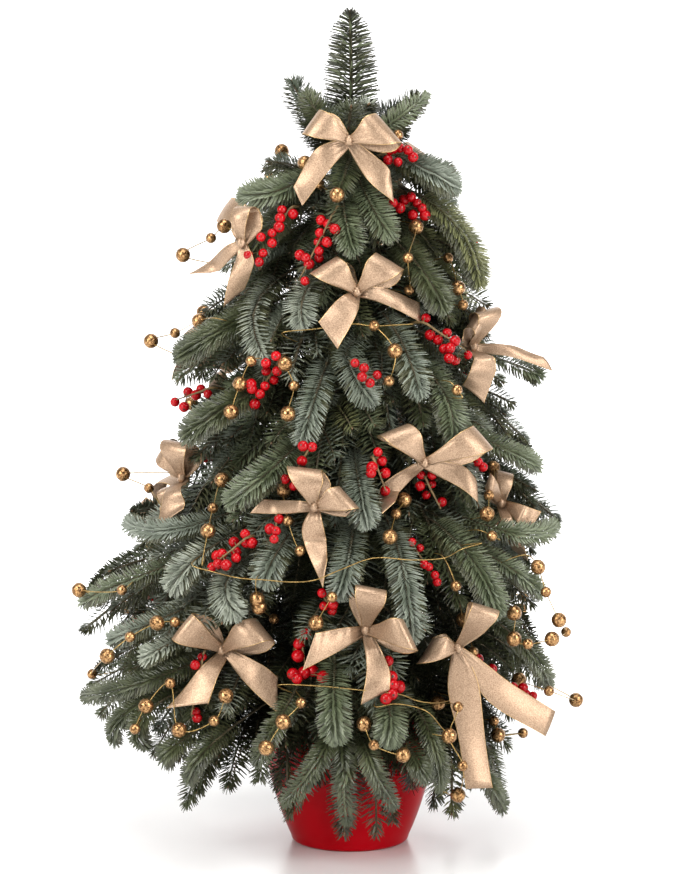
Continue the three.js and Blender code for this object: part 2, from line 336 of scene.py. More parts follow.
def growSprigs():
    draw = randomFrom(tree["seed"])

    def stray(reach):
        return reach * (2 * draw() - 1)

    scatter, zigzag = tree["scatter"], tree["zigzag"]
    sprigs = []
    for tier in tiers:
        for k in range(tier["count"]):
            direction = math.radians(tier["turn"] + 360 * k / tier["count"] + stray(scatter["turn"]))
            step = 1 if k % 2 == 0 else -1
            reach, tip = tipToward(tier, direction)
            reach = reach * (1 + stray(scatter["reach"]))
            tip = tip + stray(scatter["tip"]) + step * zigzag["tip"] * tier["zigzag"]
            roll = math.radians(stray(tier["roll"]))
            sway = stray(scatter["sway"])
            root = tier["root"] + step * zigzag["root"] * tier["zigzag"]
            rise = math.radians(tier["rise"])
            stem = bentStem(direction, root, reach, tip, rise, roll, sway, tree["bough"])
            stem["needle"] = tier["needle"]
            node = f"{tier['name']}_sprig_{k + 1}"
            sprigs.append({"node": node, "tier": tier, "stem": stem, "shoots": [stem]})
    return sprigs


# Finer growth: side shoots on every sprig, and small drooping sprigs that fill the cone between the tiers
fineGrowth = {
    "seed": 5,
    "angle": 40,
    "angleSpread": 7,
    "lengthShare": 0.8,
    "lengthSpread": 0.14,
    "lengthRange": (-1, 0.4),
    "rollSpread": 16,
    "forward": 0.3,
    "droop": 0.06,
    "sag": 0.1,
    "needleShare": 0.96,
    "bare": 0.08,
    "stagger": 0.02,
    "tries": 5,
    "shorter": 0.85,
}
fillers = {
    "seed": 8,
    "count": 104,
    "top": 582,
    "bottom": 128,
    "crowding": 0.85,
    "goldenTurn": 137.5,
    "drop": (62, 112),
    "reach": (0.66, 0.93),
    "rise": (0, 26),
    "sway": 12,
    "roll": 26,
    "pairPlace": 0.42,
    "pairFrom": 70,
    "lowTips": 69,
    "lowThick": 1.7,
    "lowNeedle": 18.5,
    "lowestTip": 70,
    "singleRise": 14,
    "stem": {"bend": 0.5, "bare": 0.1, "order": 1},
}
pot = {"height": 116, "foot": 50, "rim": 78, "belly": 71, "bellyHeight": 50, "footRound": 4, "wall": 3,
       "floor": 5}
# how finely the pot is made, and how near to it and to the cone a stem may come
potSteps = {"belly": 80, "side": 30, "foot": 7, "lip": 8, "lipTurn": (15, 165), "columns": 160}
potClear = {"from": 0.25, "places": 6, "above": 8, "beside": 5, "lowest": 14, "inCone": 1, "floor": 1}


def potRadius(height):
    # the pot's outer side, one smooth belly from its foot to its rim
    t = np.linspace(0, 1, potSteps["belly"])
    radius = (1 - t) ** 2 * pot["foot"] + 2 * (1 - t) * t * pot["belly"] + t ** 2 * pot["rim"]
    level = (1 - t) ** 2 * pot["footRound"] + 2 * (1 - t) * t * pot["bellyHeight"] + t ** 2 * pot["height"]
    return np.interp(height, level, radius)


def insidePotOrCone(points, margin):
    radius = np.hypot(points[:, 0], points[:, 1])
    level = points[:, 2]
    inPot = (level < pot["height"] + margin) & (radius < potRadius(level) + margin)
    byCone = (level >= pot["height"]) & (level < tree["coneHeight"])
    inCone = byCone & (radius < coneRadius(level) - potClear["inCone"])
    return inPot | inCone | (level < potClear["floor"])


def clearOfPot(shoot):
    at = curvePoints(shoot, np.linspace(potClear["from"], 1, potClear["places"]))[0]
    radius = np.hypot(at[:, 0], at[:, 1])
    low = at[:, 2] < pot["height"] + potClear["above"]
    touching = low & (radius < potRadius(at[:, 2]) + potClear["beside"])
    return not np.any(touching) and at[:, 2].min() > potClear["lowest"]


def sideShoot(stem, place, hand, lengthShare, angle, spin):
    at, along, across, over = (v[0] for v in curvePoints(stem, [place]))
    sidewards = across * hand * math.cos(spin) + over * math.sin(spin)
    length = lengthShare * stem["length"] * (1 - place)
    heading = along * math.cos(angle) + sidewards * math.sin(angle)
    bent = unit(heading * (1 - fineGrowth["forward"]) + along * fineGrowth["forward"])
    middle = at + heading * 0.5 * length
    finish = middle + bent * 0.5 * length - over * fineGrowth["droop"] * length
    finish[2] -= fineGrowth["sag"] * length
    return {"curve": (at, middle, finish), "up": over, "length": length, "bare": fineGrowth["bare"],
            "needle": stem["needle"] * fineGrowth["needleShare"], "order": stem["order"] + 1}


def addPairs(sprig, stem, places, rng):
    # a side shoot on each side; one that would touch the pot is made shorter, or left out
    for place in places:
        for hand in (1, -1):
            angle = math.radians(fineGrowth["angle"] + rng.uniform(-1, 1) * fineGrowth["angleSpread"])
            longer = rng.uniform(*fineGrowth["lengthRange"]) * fineGrowth["lengthSpread"]
            share = fineGrowth["lengthShare"] * (1 + longer)
            spin = math.radians(rng.uniform(-1, 1) * fineGrowth["rollSpread"])
            for _ in range(fineGrowth["tries"]):
                shoot = sideShoot(stem, place + hand * fineGrowth["stagger"], hand, share, angle, spin)
                if clearOfPot(shoot):
                    sprig["shoots"].append(shoot)
                    break
                share *= fineGrowth["shorter"]


def growFiner(sprigs):
    rng = np.random.default_rng(fineGrowth["seed"])
    for sprig in sprigs:
        addPairs(sprig, sprig["stem"], sprig["tier"]["places"], rng)


crownTufts = {"seed": 11, "count": 11, "roots": (588, 580, 572), "out": 6, "length": (34, 52),
              "climb": (18, 66), "turnSpread": 0.5, "arch": 0.12, "needle": 18, "bare": 0.05, "order": 2}


def growCrown(sprigs):
    # short bushy shoots round the foot of the leader
    rng = np.random.default_rng(crownTufts["seed"])
    for k in range(crownTufts["count"]):
        direction = 2 * math.pi * (k + rng.uniform(0, crownTufts["turnSpread"])) / crownTufts["count"]
        climb = math.radians(rng.uniform(*crownTufts["climb"]))
        length = rng.uniform(*crownTufts["length"])
        out = outward(direction)
        root = crownTufts["roots"][k % len(crownTufts["roots"])]
        start = out * crownTufts["out"] + upward * root
        heading = out * math.cos(climb) + upward * math.sin(climb)
        finish = start + heading * length
        middle = start + (heading * 0.5 + upward * crownTufts["arch"]) * length
        tuft = {"curve": (start, middle, finish), "up": upward * math.cos(climb) - out * math.sin(climb),
                "length": length, "round": True}
        tuft.update({key: crownTufts[key] for key in ("needle", "bare", "order")})
        sprigs[k % tiers[0]["count"]]["shoots"].append(tuft)


# single sprigs where the tree has them: direction, root height, how far the tip is from the axis, its height
# and, where it leans to one side, how far
fringe = [(270, 134, 94, 26, -5), (270, 140, 96, 42, -50), (270, 140, 96, 36, 36), (296, 148, 98, 62, 12),
          (236, 150, 100, 62, -8), (316, 148, 104, 46, 0), (338, 144, 118, 58, 0)]
leftEdge = [(186, 545, 96, 548), (178, 440, 150, 414), (190, 392, 136, 362), (174, 200, 202, 178),
            (185, 166, 226, 136), (177, 132, 204, 98), (196, 150, 178, 84), (212, 146, 156, 60),
            (224, 142, 146, 68), (236, 140, 140, 76)]
rightEdge = [(-8, 566, 94, 562), (6, 512, 116, 488), (-10, 418, 136, 392), (4, 346, 162, 322),
             (-8, 290, 176, 270), (-8, 176, 174, 138), (-18, 130, 138, 42)]
inside = [(215, 404, 112, 336), (200, 420, 104, 372), (228, 268, 124, 200), (318, 240, 132, 172),
          (330, 330, 130, 250), (285, 190, 132, 128), (255, 200, 136, 140)]
singles = fringe + leftEdge + rightEdge + inside


def nearestSprig(sprigs, level):
    # a sprig of the tier whose roots are nearest to a height
    return min(sprigs, key=lambda sprig: abs(sprig["tier"]["root"] - level))


def smallSprig(sprigs, direction, root, reach, tip, rise, roll, sway, rng):
    nearest = nearestSprig(sprigs, root)
    stem = bentStem(direction, root, reach, tip, rise, roll, sway, fillers["stem"])
    stem["needle"] = nearest["tier"]["needle"]
    if tip < fillers["lowTips"]:
        stem.update(thick=fillers["lowThick"], needle=fillers["lowNeedle"])
    if clearOfPot(stem):
        nearest["shoots"].append(stem)
        if stem["length"] > fillers["pairFrom"]:
            addPairs(nearest, stem, (fillers["pairPlace"],), rng)


def growFillers(sprigs):
    rng = np.random.default_rng(fillers["seed"])
    for k in range(fillers["count"]):
        share = ((k + 0.5) / fillers["count"]) ** fillers["crowding"]
        root = mixed(fillers["top"], fillers["bottom"], share)
        direction = math.radians(fillers["goldenTurn"] * k)
        tip = max(root - rng.uniform(*fillers["drop"]), fillers["lowestTip"])
        reach = outlineRadius(direction, tip) * rng.uniform(*fillers["reach"])
        rise = math.radians(rng.uniform(*fillers["rise"]))
        roll = math.radians(rng.uniform(-1, 1) * fillers["roll"])
        sway = rng.uniform(-1, 1) * fillers["sway"]
        smallSprig(sprigs, direction, root, reach, tip, rise, roll, sway, rng)
    rise = math.radians(fillers["singleRise"])
    for direction, root, reach, tip, *sway in singles:
        smallSprig(sprigs, math.radians(direction), root, reach, tip, rise, 0, sum(sway), rng)


# sprigs that show whole on the front: the pixel where each comes out, the pixel of its tip, and its kind
faceSprigs = [
    # the upper part
    ((352, 152), (336, 196), "needleDark"), ((294, 184), (242, 194), "needleGreen"),
    ((276, 222), (246, 262), "needleDark"),
    ((343, 200), (354, 250), "needleGreen"), ((362, 186), (391, 236), "needleGreen"),
    ((413, 163), (457, 187), "needleBlue"), ((446, 214), (480, 284), "needleOlive"),
    ((412, 258), (444, 308), "needleDark"), ((261, 296), (265, 358), "needlePale"),
    ((307, 288), (303, 324), "needlePale"), ((243, 318), (178, 356), "needleDark"),
    ((346, 352), (372, 402), "needleBlue"), ((398, 335), (420, 394), "needleBlue"),
    # the middle and, last, two just over the pot
    ((322, 376), (302, 441), "needleBlue"), ((434, 378), (454, 438), "needleGreen"),
    ((238, 400), (184, 436), "needleDark"), ((288, 454), (229, 502), "needleGreen"),
    ((357, 470), (367, 524), "needleBlue"), ((352, 538), (338, 594), "needleBlue"),
    ((396, 542), (412, 638), "needleBlue"), ((286, 538), (263, 582), "needleBlue"),
    ((235, 568), (238, 614), "needlePale"), ((459, 544), (497, 614), "needleGreen"),
    ((215, 545), (172, 588), "needlePale"),
    ((334, 674), (337, 740), "needleGreen"), ((388, 698), (386, 742), "needleGreen"),
]
# the slimmer ones: two at the top, then those over the pot and at the edges
slimSprigs = [
    ((384, 128), (427, 95), "needleGreen"), ((322, 120), (306, 92), "needleDark"),
    ((290, 700), (256, 764), "needleDark"), ((330, 738), (283, 804), "needleDark"),
    ((342, 738), (347, 824), "needleDark"), ((365, 745), (395, 808), "needleDark"),
    ((408, 745), (427, 780), "needleDark"), ((425, 722), (440, 790), "needleDark"),
    ((190, 526), (126, 520), "needleBlue"), ((150, 572), (82, 602), "needleGreen"),
    ((170, 615), (110, 640), "needleBlue"), ((182, 638), (146, 656), "needlePale"),
    ((166, 674), (83, 695), "needleDark"), ((148, 698), (116, 742), "needleDark"),
    ((160, 702), (147, 748), "needleDark"), ((190, 735), (166, 760), "needleDark"),
    ((214, 742), (190, 782), "needleDark"),
    ((508, 362), (536, 376), "needleGreen"), ((494, 444), (538, 466), "needleGreen"),
    ((500, 530), (556, 523), "needleGreen"), ((497, 560), (541, 594), "needleGreen"),
    ((505, 628), (550, 688), "needleDark"),
    ((478, 770), (503, 810), "needleDark"),
]
faceLook = {"lift": (-4, 5), "climb": 34, "lowest": 120, "bare": 0.32, "start": 1750, "step": 2,
            "deepest": -12, "raised": 0.5, "toFront": 0.8, "twinFrom": -40,
            "wholeSize": (16, 1.55), "slimSize": (11.5, 1.0)}


def facePoint(pixel, lift):
    # the place on the tree's outer face that a pixel of the photograph shows
    ray = np.array(pixelRay(*pixel))
    point = np.array(cameraPlace) / mm + ray * faceLook["start"]
    while point[1] < faceLook["deepest"]:
        direction = math.atan2(point[1], point[0])
        if math.hypot(point[0], point[1]) < outlineRadius(direction, point[2]) + lift:
            break
        point = point + ray * faceLook["step"]
    return point


def growFace(sprigs, placed, size):
    # size: how long a needle is, and how many times thicker than usual they stand
    for leaves, tip, kind in placed:
        leaves, tip = facePoint(leaves, faceLook["lift"][0]), facePoint(tip, faceLook["lift"][1])
        level = min(max(leaves[2] + faceLook["climb"], faceLook["lowest"]), tree["coneHeight"])
        out = unit(leaves * (1, 1, 0))
        start = rootPlace(out, level)
        curve = (start, 2 * leaves - (start + tip) / 2, tip)
        up = unit(out + upward * faceLook["raised"] - np.array([0, faceLook["toFront"], 0]))
        nearest = nearestSprig(sprigs, level)
        length = np.linalg.norm(leaves - start) + np.linalg.norm(tip - leaves)
        stem = {"curve": curve, "up": up, "length": length, "bare": faceLook["bare"], "order": 1,
                "needle": size[0], "thick": size[1], "kind": kind}
        nearest["shoots"].append(stem)
        if leaves[1] < faceLook["twinFrom"]:
            # the back has its like
            twin = {**stem, "curve": [point * (1, -1, 1) for point in curve], "up": up * (1, -1, 1)}
            nearest["shoots"].append(twin)


# the leader's needles grow shorter towards its tip: shares of its length, and of its needles' length
leader = {"root": 582, "tip": 704, "lean": 2, "needle": 24, "bare": 0.02,
          "shape": ((0, 0.5, 0.85, 1), (1, 1, 0.72, 0.42))}


def leaderSprig():
    root, tip = leader["root"], leader["tip"] - tree["tipNeedle"]
    curve = (upward * root, np.array([leader["lean"], 0, (root + tip) / 2]), upward * tip)
    stem = {"curve": curve, "up": np.array([0, -1.0, 0]), "length": tip - root, "needle": leader["needle"],
            "bare": leader["bare"], "order": 0, "comb": True, "shape": leader["shape"]}
    back = {**stem, "up": np.array([0, 1.0, 0]), "hidden": True}
    return {"node": "leader", "tier": tiers[0], "stem": stem, "shoots": [stem, back]}


print("growing the sprigs")
sprigs = [leaderSprig()] + growSprigs()
growFiner(sprigs[1:])
growFillers(sprigs[1:])
growCrown(sprigs[1:])
growFace(sprigs[1:], faceSprigs, faceLook["wholeSize"])
growFace(sprigs[1:], slimSprigs, faceLook["slimSize"])
for sprig in sprigs[1:1 + tiers[0]["count"]]:
    sprig["stem"]["round"] = True
allShoots = [shoot for sprig in sprigs for shoot in sprig["shoots"]]
print("shoots", len(allShoots), "metres", round(sum(s["length"] for s in allShoots) / 1000, 1))

# Needles: each is a blade folded along its middle, a little bent, with a blunt end
needleLook = {
    "seed": 11,
    "perMillimetre": 2.85,
    "fewest": 8,
    "stagger": 0.6,
    "width": 1.75,
    "fold": 0.55,
    "tilt": 0.5,
    "end": 0.45,
    "point": 0.5,
    "rows": (-30, 210, -4, 184, 22, 158, 52, 128, 90),
    "roundRows": (0, 150, 300, 60, 210, 30, 180, 330, 90, 240, 120, 270),
    "roundDensity": 2.0,
    "rowSpread": 6,
    "wrap": (0.92, 1.3),
    "lean": 82,
    "shootLean": (-12, 0),
    "leanSpread": 4,
    "curl": 0.5,
    "combCurl": 0.4,
    "curlSpread": (0.7, 1.2),
    "curlUp": 0.35,
    "curlOn": 0.6,
    "shape": ((0, 0.12, 0.72, 1), (0.8, 1, 1, 0.84)),
    "lengthSpread": (0.92, 1.05),
    "clear": 0.6,
    "underTurn": 5,
    "moodShare": 0.45,
    "spotPlace": 0.7,
}
# how needles differ on top of a stem, at its tip, and deep in the tree, where they are painted in shade
needleTop = {"power": 1.5, "lean": 54, "shorter": 0.3}
needleTip = {"share": 0.1, "length": 11, "reach": 0.6, "lean": 8, "roundLean": 32, "leanSpread": (0.3, 1),
             "power": 1.2, "straighter": 0.6, "shorter": 0.42, "narrower": 0.3}
needleInShade = {"depth": 47, "spread": (0.7, 1.3), "foot": 0.6, "end": 0.5}
needleColours = {
    "needleBlue": {"dark": (0.11, 0.133, 0.098), "light": (0.222, 0.25, 0.198)},
    "needleGreen": {"dark": (0.082, 0.102, 0.053), "light": (0.155, 0.182, 0.108)},
    # painted shade: near black, for the needles deep inside the tree
    "needleShadedInside": {"dark": (0.012, 0.013, 0.006), "light": (0.03, 0.034, 0.016)},
    # painted shade: darker, for the needles on the under side of a stem
    "needleShadedUnder": {"dark": (0.04, 0.044, 0.02), "light": (0.084, 0.088, 0.042)},
    "needlePale": {"dark": (0.18, 0.202, 0.155), "light": (0.315, 0.342, 0.275)},
    "needleOlive": {"dark": (0.105, 0.115, 0.048), "light": (0.182, 0.188, 0.082)},
    "needleDark": {"dark": (0.036, 0.045, 0.018), "light": (0.086, 0.1, 0.047)},
}
needleShares = {"needleBlue": 0.33, "needleGreen": 0.3, "needlePale": 0.1, "needleOlive": 0.1,
                "needleDark": 0.17}
# where the front has sprays of one kind together: the middle of the spot as a pixel, its reach and the kind
needleSpots = [
    (203, 585, 32, "needlePale"), (165, 530, 26, "needlePale"), (318, 315, 24, "needlePale"),
    (260, 320, 22, "needlePale"), (430, 180, 26, "needlePale"), (362, 498, 26, "needleBlue"),
    (355, 560, 34, "needleBlue"), (275, 555, 30, "needleBlue"), (456, 250, 40, "needleOlive"),
    (258, 725, 40, "needleDark"), (330, 715, 26, "needleGreen"), (384, 720, 22, "needleGreen"),
    (350, 800, 80, "needleDark"), (150, 725, 68, "needleDark"), (505, 700, 60, "needleDark"),
    (255, 480, 34, "needleGreen"), (418, 606, 34, "needlePale"),
    (350, 458, 26, "needleBlue"), (250, 578, 20, "needleGreen"), (470, 560, 34, "needleBlue"),
]
needleShine = {"mottleScale": 60, "roughness": 0.34, "roughnessSpread": 0.07, "specular": 0.6, "bump": 0.25,
               "bumpScale": 900, "bumpDepth": 0.0002}
needleNumber = {name: number for number, name in enumerate(needleColours)}
needleMaterials = [nodeSurface(name, {**colours, **needleShine}) for name, colours in needleColours.items()]


def addNeedles(batch, shoot, kind, rng):
    # the needles stand in rows along the stem, and fan out round its tip
    around, comb = shoot.get("round", False), shoot.get("comb", False)
    rows = np.array(needleLook["roundRows"] if around else needleLook["rows"], float)
    leafy = shoot["length"] * (1 - shoot["bare"])
    density = needleLook["perMillimetre"] * (needleLook["roundDensity"] if around else shoot.get("thick", 1))
    count = max(needleLook["fewest"], int(density * leafy))
    share = (np.arange(count) + rng.uniform(0, needleLook["stagger"], count)) / count
    tips = rng.uniform(0, 1, count) < needleTip["share"]
    share[tips] = 1 - rng.uniform(0, needleTip["reach"], tips.sum()) * needleTip["length"] / leafy
    share = np.clip(share, 0, 1)
    at, along, across, over = curvePoints(shoot, shoot["bare"] + (1 - shoot["bare"]) * share)
    turn = rows[np.arange(count) % len(rows)] + rng.uniform(-1, 1, count) * needleLook["rowSpread"]
    if not around:
        turn = 90 + (turn - 90) * rng.uniform(*needleLook["wrap"])
    turn = np.radians(turn)
    radial = across * np.cos(turn)[:, None] + over * np.sin(turn)[:, None]
    topness = np.zeros(count) if around else np.clip(np.sin(turn), 0, 1) ** needleTop["power"]
    tipness = np.clip(1 - (1 - share) * leafy / needleTip["length"], 0, 1)
    # how far each leans away from the stem, and its two halves
    shootLean = 0 if comb else rng.uniform(*needleLook["shootLean"])
    lean = mixed(needleLook["lean"] + shootLean, needleTop["lean"], topness)
    tipLean = needleTip["roundLean"] if around else needleTip["lean"]
    tipShare = (tipness * rng.uniform(*needleTip["leanSpread"], count)) ** needleTip["power"]
    lean = mixed(lean, tipLean, tipShare)
    lean = np.radians(lean + rng.uniform(-1, 1, count) * needleLook["leanSpread"])
    first = along * np.cos(lean)[:, None] + radial * np.sin(lean)[:, None]
    curl = needleLook["curl"] * (needleLook["combCurl"] if comb else 1)
    curlSpread = rng.uniform(*needleLook["curlSpread"], count)
    curl = curl * (curlSpread * (1 - needleTip["straighter"] * tipness))[:, None]
    lifted = radial if around else over
    second = unit(first + curl * (needleLook["curlUp"] * lifted + needleLook["curlOn"] * along))
    length = shoot["needle"] * np.interp(share, *shoot.get("shape", needleLook["shape"]))
    length = length * (1 - needleTop["shorter"] * topness) * (1 - needleTip["shorter"] * tipness)
    length = length * rng.uniform(*needleLook["lengthSpread"], count)
    flat = lifted - needleLook["tilt"] * along
    halfWidth = needleLook["width"] / 2 * (1 - needleTip["narrower"] * tipness)
    width = unit(np.cross(first, flat)) * halfWidth[:, None]
    ridge = unit(np.cross(width, first)) * needleLook["fold"]
    middle = at + first * (0.5 * length)[:, None]
    tip = middle + second * (0.5 * length)[:, None]
    kept = ~(insidePotOrCone(tip, needleLook["clear"]) | insidePotOrCone(middle, needleLook["clear"]))
    # the needles deep in the tree, near its middle, are plain, with painted shade: a near-black colour
    outline = np.interp(at[:, 2], outlineLevels, outlineReach)
    depth = outline - np.hypot(at[:, 0], at[:, 1])
    inShade = depth > needleInShade["depth"] * rng.uniform(*needleInShade["spread"], count)
    bend = [middle + width, middle + ridge, middle - width]
    endWidth, point = width * needleLook["end"], second * needleLook["point"]
    end = [tip + endWidth - point, tip + point, tip - endWidth - point]
    # seven corners each: the foot, three across the bend and three across the end
    outerNeedles = np.stack([at] + bend + end, 1)[kept & ~inShade]
    corner = 7 * np.arange(len(outerNeedles))[:, None, None]
    # those on the under side are darker: painted shade, as if in the stem's own shadow
    low = np.sin(turn[kept & ~inShade]) < math.sin(math.radians(needleLook["underTurn"]))
    shades = np.repeat(np.where(low, needleNumber["needleShadedUnder"], needleNumber[kind]), 2)
    batch.add(outerNeedles, corner + [[1, 2, 5, 4], [2, 3, 6, 5]], corner + [[0, 2, 1], [0, 3, 2]],
              quadKinds=shades, triangleKinds=shades)
    foot, end = width * needleInShade["foot"], width * needleInShade["end"]
    plain = np.stack([at + foot, tip + end, tip - end, at - foot], 1)[kept & inShade]
    corner = 4 * np.arange(len(plain))[:, None, None]
    batch.add(plain, corner + [[0, 1, 2, 3]], kind=needleNumber["needleShadedInside"])


def spotKind(shoot, kind):
    # the kind of the spot that the outer part of a front spray is in, or else its own
    if "kind" in shoot:
        return shoot["kind"]
    at = curvePoints(shoot, [needleLook["spotPlace"]])[0][0]
    u, v = pixelOf(at)
    for spotU, spotV, reach, kindThere in needleSpots:
        if at[1] < 0 and math.hypot(u - spotU, v - spotV) < reach:
            return kindThere
    return kind


# the tree's outline halfway between its sides, from the lowest tier up
outlineReach, outlineLevels = np.array([tierTip(tier, 0.5, 0.5) for tier in reversed(tiers)]).T


def tierPieces():
    rng = np.random.default_rng(needleLook["seed"])
    kinds, shares = list(needleShares), np.array(list(needleShares.values()))

    def anyKind():
        return rng.choice(kinds, p=shares / shares.sum())

    batches = {}
    for sprig in sprigs:
        batch, nodes = batches.setdefault(sprig["tier"]["name"], (Batch(), []))
        nodes.append(sprig["node"])
        mood = anyKind()
        for shoot in sprig["shoots"]:
            kind = mood if rng.uniform() < needleLook["moodShare"] else anyKind()
            addNeedles(batch, shoot, spotKind(shoot, kind), rng)
    total = 0
    for name, (batch, nodes) in batches.items():
        piece = batch.piece(f"needles_{name}", needleMaterials)
        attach(piece, "root")
        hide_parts(*nodes)
        total += batch.triangleCount()
        print("needles", name, batch.triangleCount())
    print("needle triangles", total)


tierPieces()

# Twigs, with a bud at each tip
twigLook = {"dark": (0.045, 0.036, 0.018), "light": (0.1, 0.078, 0.04), "mottleScale": 160, "roughness": 0.75,
            "bump": 0.6, "bumpScale": 700, "bumpDepth": 0.0005}
budLook = {"dark": (0.1, 0.055, 0.025), "light": (0.2, 0.12, 0.06), "mottleScale": 300, "roughness": 0.5,
           "bump": 0.4, "bumpScale": 900}
twigSizes = {"rootRadius": (2.3, 1.3, 1.0), "tipRadius": (1.1, 0.75, 0.65), "rings": 7,
             "budEnds": (-0.5, 3.4), "budRadii": (0.7, 1.1, 0.9, 0.3)}
tubeSeed = np.array([0.31, 0.17, 0.93])  # a direction that no tube follows


def tubePoints(path, radii, sides):
    # a tube along a row of points, as rings of points; radii is one for each point, or one for all
    path = np.asarray(path, float)
    along = unit(np.gradient(path, axis=0))
    across = unit(np.cross(along, np.broadcast_to(tubeSeed, along.shape)))
    over = np.cross(along, across)
    angles = ringAngles(sides)[:, None]
    ring = across[:, None, :] * np.cos(angles) + over[:, None, :] * np.sin(angles)
    return path[:, None, :] + ring * np.broadcast_to(radii, len(path))[:, None, None]


def addTube(batch, path, radii, sides=4, kind=0):
    # a tube with a pointed end at both ends
    rings = tubePoints(path, radii, sides)
    points = np.concatenate([rings.reshape(-1, 3), [path[0]], [path[-1]]])
    batch.add(points, gridQuads(len(rings), sides, closed=True), endCaps(len(rings), sides), kind)


def twigPiece():
    batch = Batch()
    for shoot in allShoots:
        if shoot.get("hidden"):
            continue
        t = np.linspace(0, 1, twigSizes["rings"])
        at, along = curvePoints(shoot, t)[:2]
        order = min(shoot["order"], 2)
        radii = mixed(twigSizes["rootRadius"][order], twigSizes["tipRadius"][order], t)
        addTube(batch, at, radii)
        bud = at[-1] + along[-1] * np.linspace(*twigSizes["budEnds"], len(twigSizes["budRadii"]))[:, None]
        addTube(batch, bud, twigSizes["budRadii"], kind=1)
    piece = batch.piece("twigs", [nodeSurface("twigBark", twigLook), nodeSurface("buds", budLook)])
    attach(piece, "root")
    print("twig triangles", batch.triangleCount())


twigPiece()

# Foam cone and the foam in the pot, with pores and the dents of many stems
foamLook = {"dark": (0.008, 0.014, 0.007), "light": (0.022, 0.036, 0.016), "mottleScale": 90,
            "roughness": 0.95, "bump": 0.8, "bumpScale": 500, "bumpDepth": 0.001}
foamRelief = {"seed": 3, "pore": 0.5, "dent": 2.2, "dents": 260, "smoothRows": 2, "columns": 72,
              "coneRows": 130, "fillingRows": 24, "gap": 0.3, "wallGap": 0.6}
foamMaterial = nodeSurface("foam", foamLook)


def turnedPoints(radii, heights, columns):
    # rings of points round the upright axis, then the middle of the first ring and of the last
    angles = ringAngles(columns)
    rings = np.stack([radii * np.cos(angles), radii * np.sin(angles), heights], -1).reshape(-1, 3)
    return np.concatenate([rings, [[0, 0, heights[0, 0]], [0, 0, heights[-1, 0]]]])


def foamSurface(name, heights, radii, node):
    rng = np.random.default_rng(foamRelief["seed"])
    rows, columns, edge = len(heights), foamRelief["columns"], foamRelief["smoothRows"]
    radius = np.repeat(radii[:, None], columns, 1)
    level = np.repeat(heights[:, None], columns, 1)
    inner = slice(edge, -edge)
    radius[inner] -= foamRelief["pore"] * rng.uniform(0, 1, radius[inner].shape)
    dentRows = rng.integers(edge, rows - edge, foamRelief["dents"])
    dentColumns = rng.integers(0, columns, foamRelief["dents"])
    radius[dentRows, dentColumns] -= foamRelief["dent"]
    piece = meshPiece(name, turnedPoints(radius, level, columns) * mm, gridQuads(rows, columns, closed=True),
                      endCaps(rows, columns), [foamMaterial])
    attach(piece, "root")
    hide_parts(node)


coneHeights = np.linspace(tree["fillingTop"] + foamRelief["gap"], tree["coneHeight"], foamRelief["coneRows"])
foamSurface("foam_cone", coneHeights, coneRadius(coneHeights), "foam_cone_trunk")
fillingHeights = np.linspace(pot["floor"] + foamRelief["gap"], tree["fillingTop"], foamRelief["fillingRows"])
fillingRadii = potRadius(fillingHeights) - pot["wall"] - foamRelief["wallGap"]
foamSurface("pot_foam", fillingHeights, fillingRadii, "pot_filling")

# Pot
potLook = {"dark": (0.38, 0.0002, 0.004), "light": (0.44, 0.0003, 0.006), "mottleScale": 14, "roughness": 0.3,
           "roughnessSpread": 0.04, "specular": 0.08, "bump": 0.06, "bumpScale": 260, "bumpDepth": 0.0003}


def potPiece():
    footRound, rimRound = pot["footRound"], pot["wall"] / 2
    heights = np.linspace(footRound, pot["height"] - rimRound, potSteps["side"])
    outside = [(float(potRadius(h)), h) for h in heights]
    turn = np.radians(np.linspace(-90, 0, potSteps["foot"]))
    foot = [(pot["foot"] - footRound + footRound * math.cos(a), footRound * (1 + math.sin(a)))
            for a in turn[:-1]]
    lipCentre = pot["rim"] - rimRound
    lip = [(lipCentre + rimRound * math.cos(a), pot["height"] - rimRound + rimRound * math.sin(a))
           for a in np.radians(np.linspace(*potSteps["lipTurn"], potSteps["lip"]))]
    inside = [(float(potRadius(h)) - pot["wall"], h) for h in heights[::-1] if h > pot["floor"]]
    profile = np.array(foot + outside + lip + inside)
    columns = potSteps["columns"]
    points = turnedPoints(profile[:, :1], np.repeat(profile[:, 1:], columns, 1), columns)
    piece = meshPiece("pot_shell", points * mm, gridQuads(len(profile), columns, closed=True),
                      endCaps(len(profile), columns), [nodeSurface("potRed", potLook)])
    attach(piece, "root")
    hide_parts("pot")


potPiece()
print("pot and foam are done")

# Where the decorations sit: the outer faces of the sprays, as coarse wedges
wedge = {"rows": 7, "wide": 0.9, "lifted": 0.2, "crest": 0.55, "under": 0.25}
seating = {"reach": 900, "outside": -14, "patch": 7, "patchSteps": (-1, -0.5, 0, 0.5, 1), "fewest": 5,
           "nearest": 0.25, "fromStem": 14, "step": 2, "deepest": 44, "emptyShare": 0.8, "stemFrom": 0.15,
           "stemEvery": 5, "stemFewest": 4}


def sprayBlades():
    points, faces = [], []
    quads = gridQuads(wedge["rows"], 4, closed=True).reshape(-1, 4)
    for shoot in allShoots:
        at, along, across, over = curvePoints(shoot, np.linspace(shoot["bare"], 1, wedge["rows"]))
        aside, lifted = across * wedge["wide"] * shoot["needle"], over * wedge["lifted"] * shoot["needle"]
        crest = at + over * wedge["crest"] * shoot["needle"]
        under = at - over * wedge["under"] * shoot["needle"]
        rows = np.stack([at - aside + lifted, crest, at + aside + lifted, under], 1).reshape(-1, 3)
        faces.extend((quads + len(points)).tolist())
        points.extend(rows.tolist())
    return BVHTree.FromPolygons(points, faces)


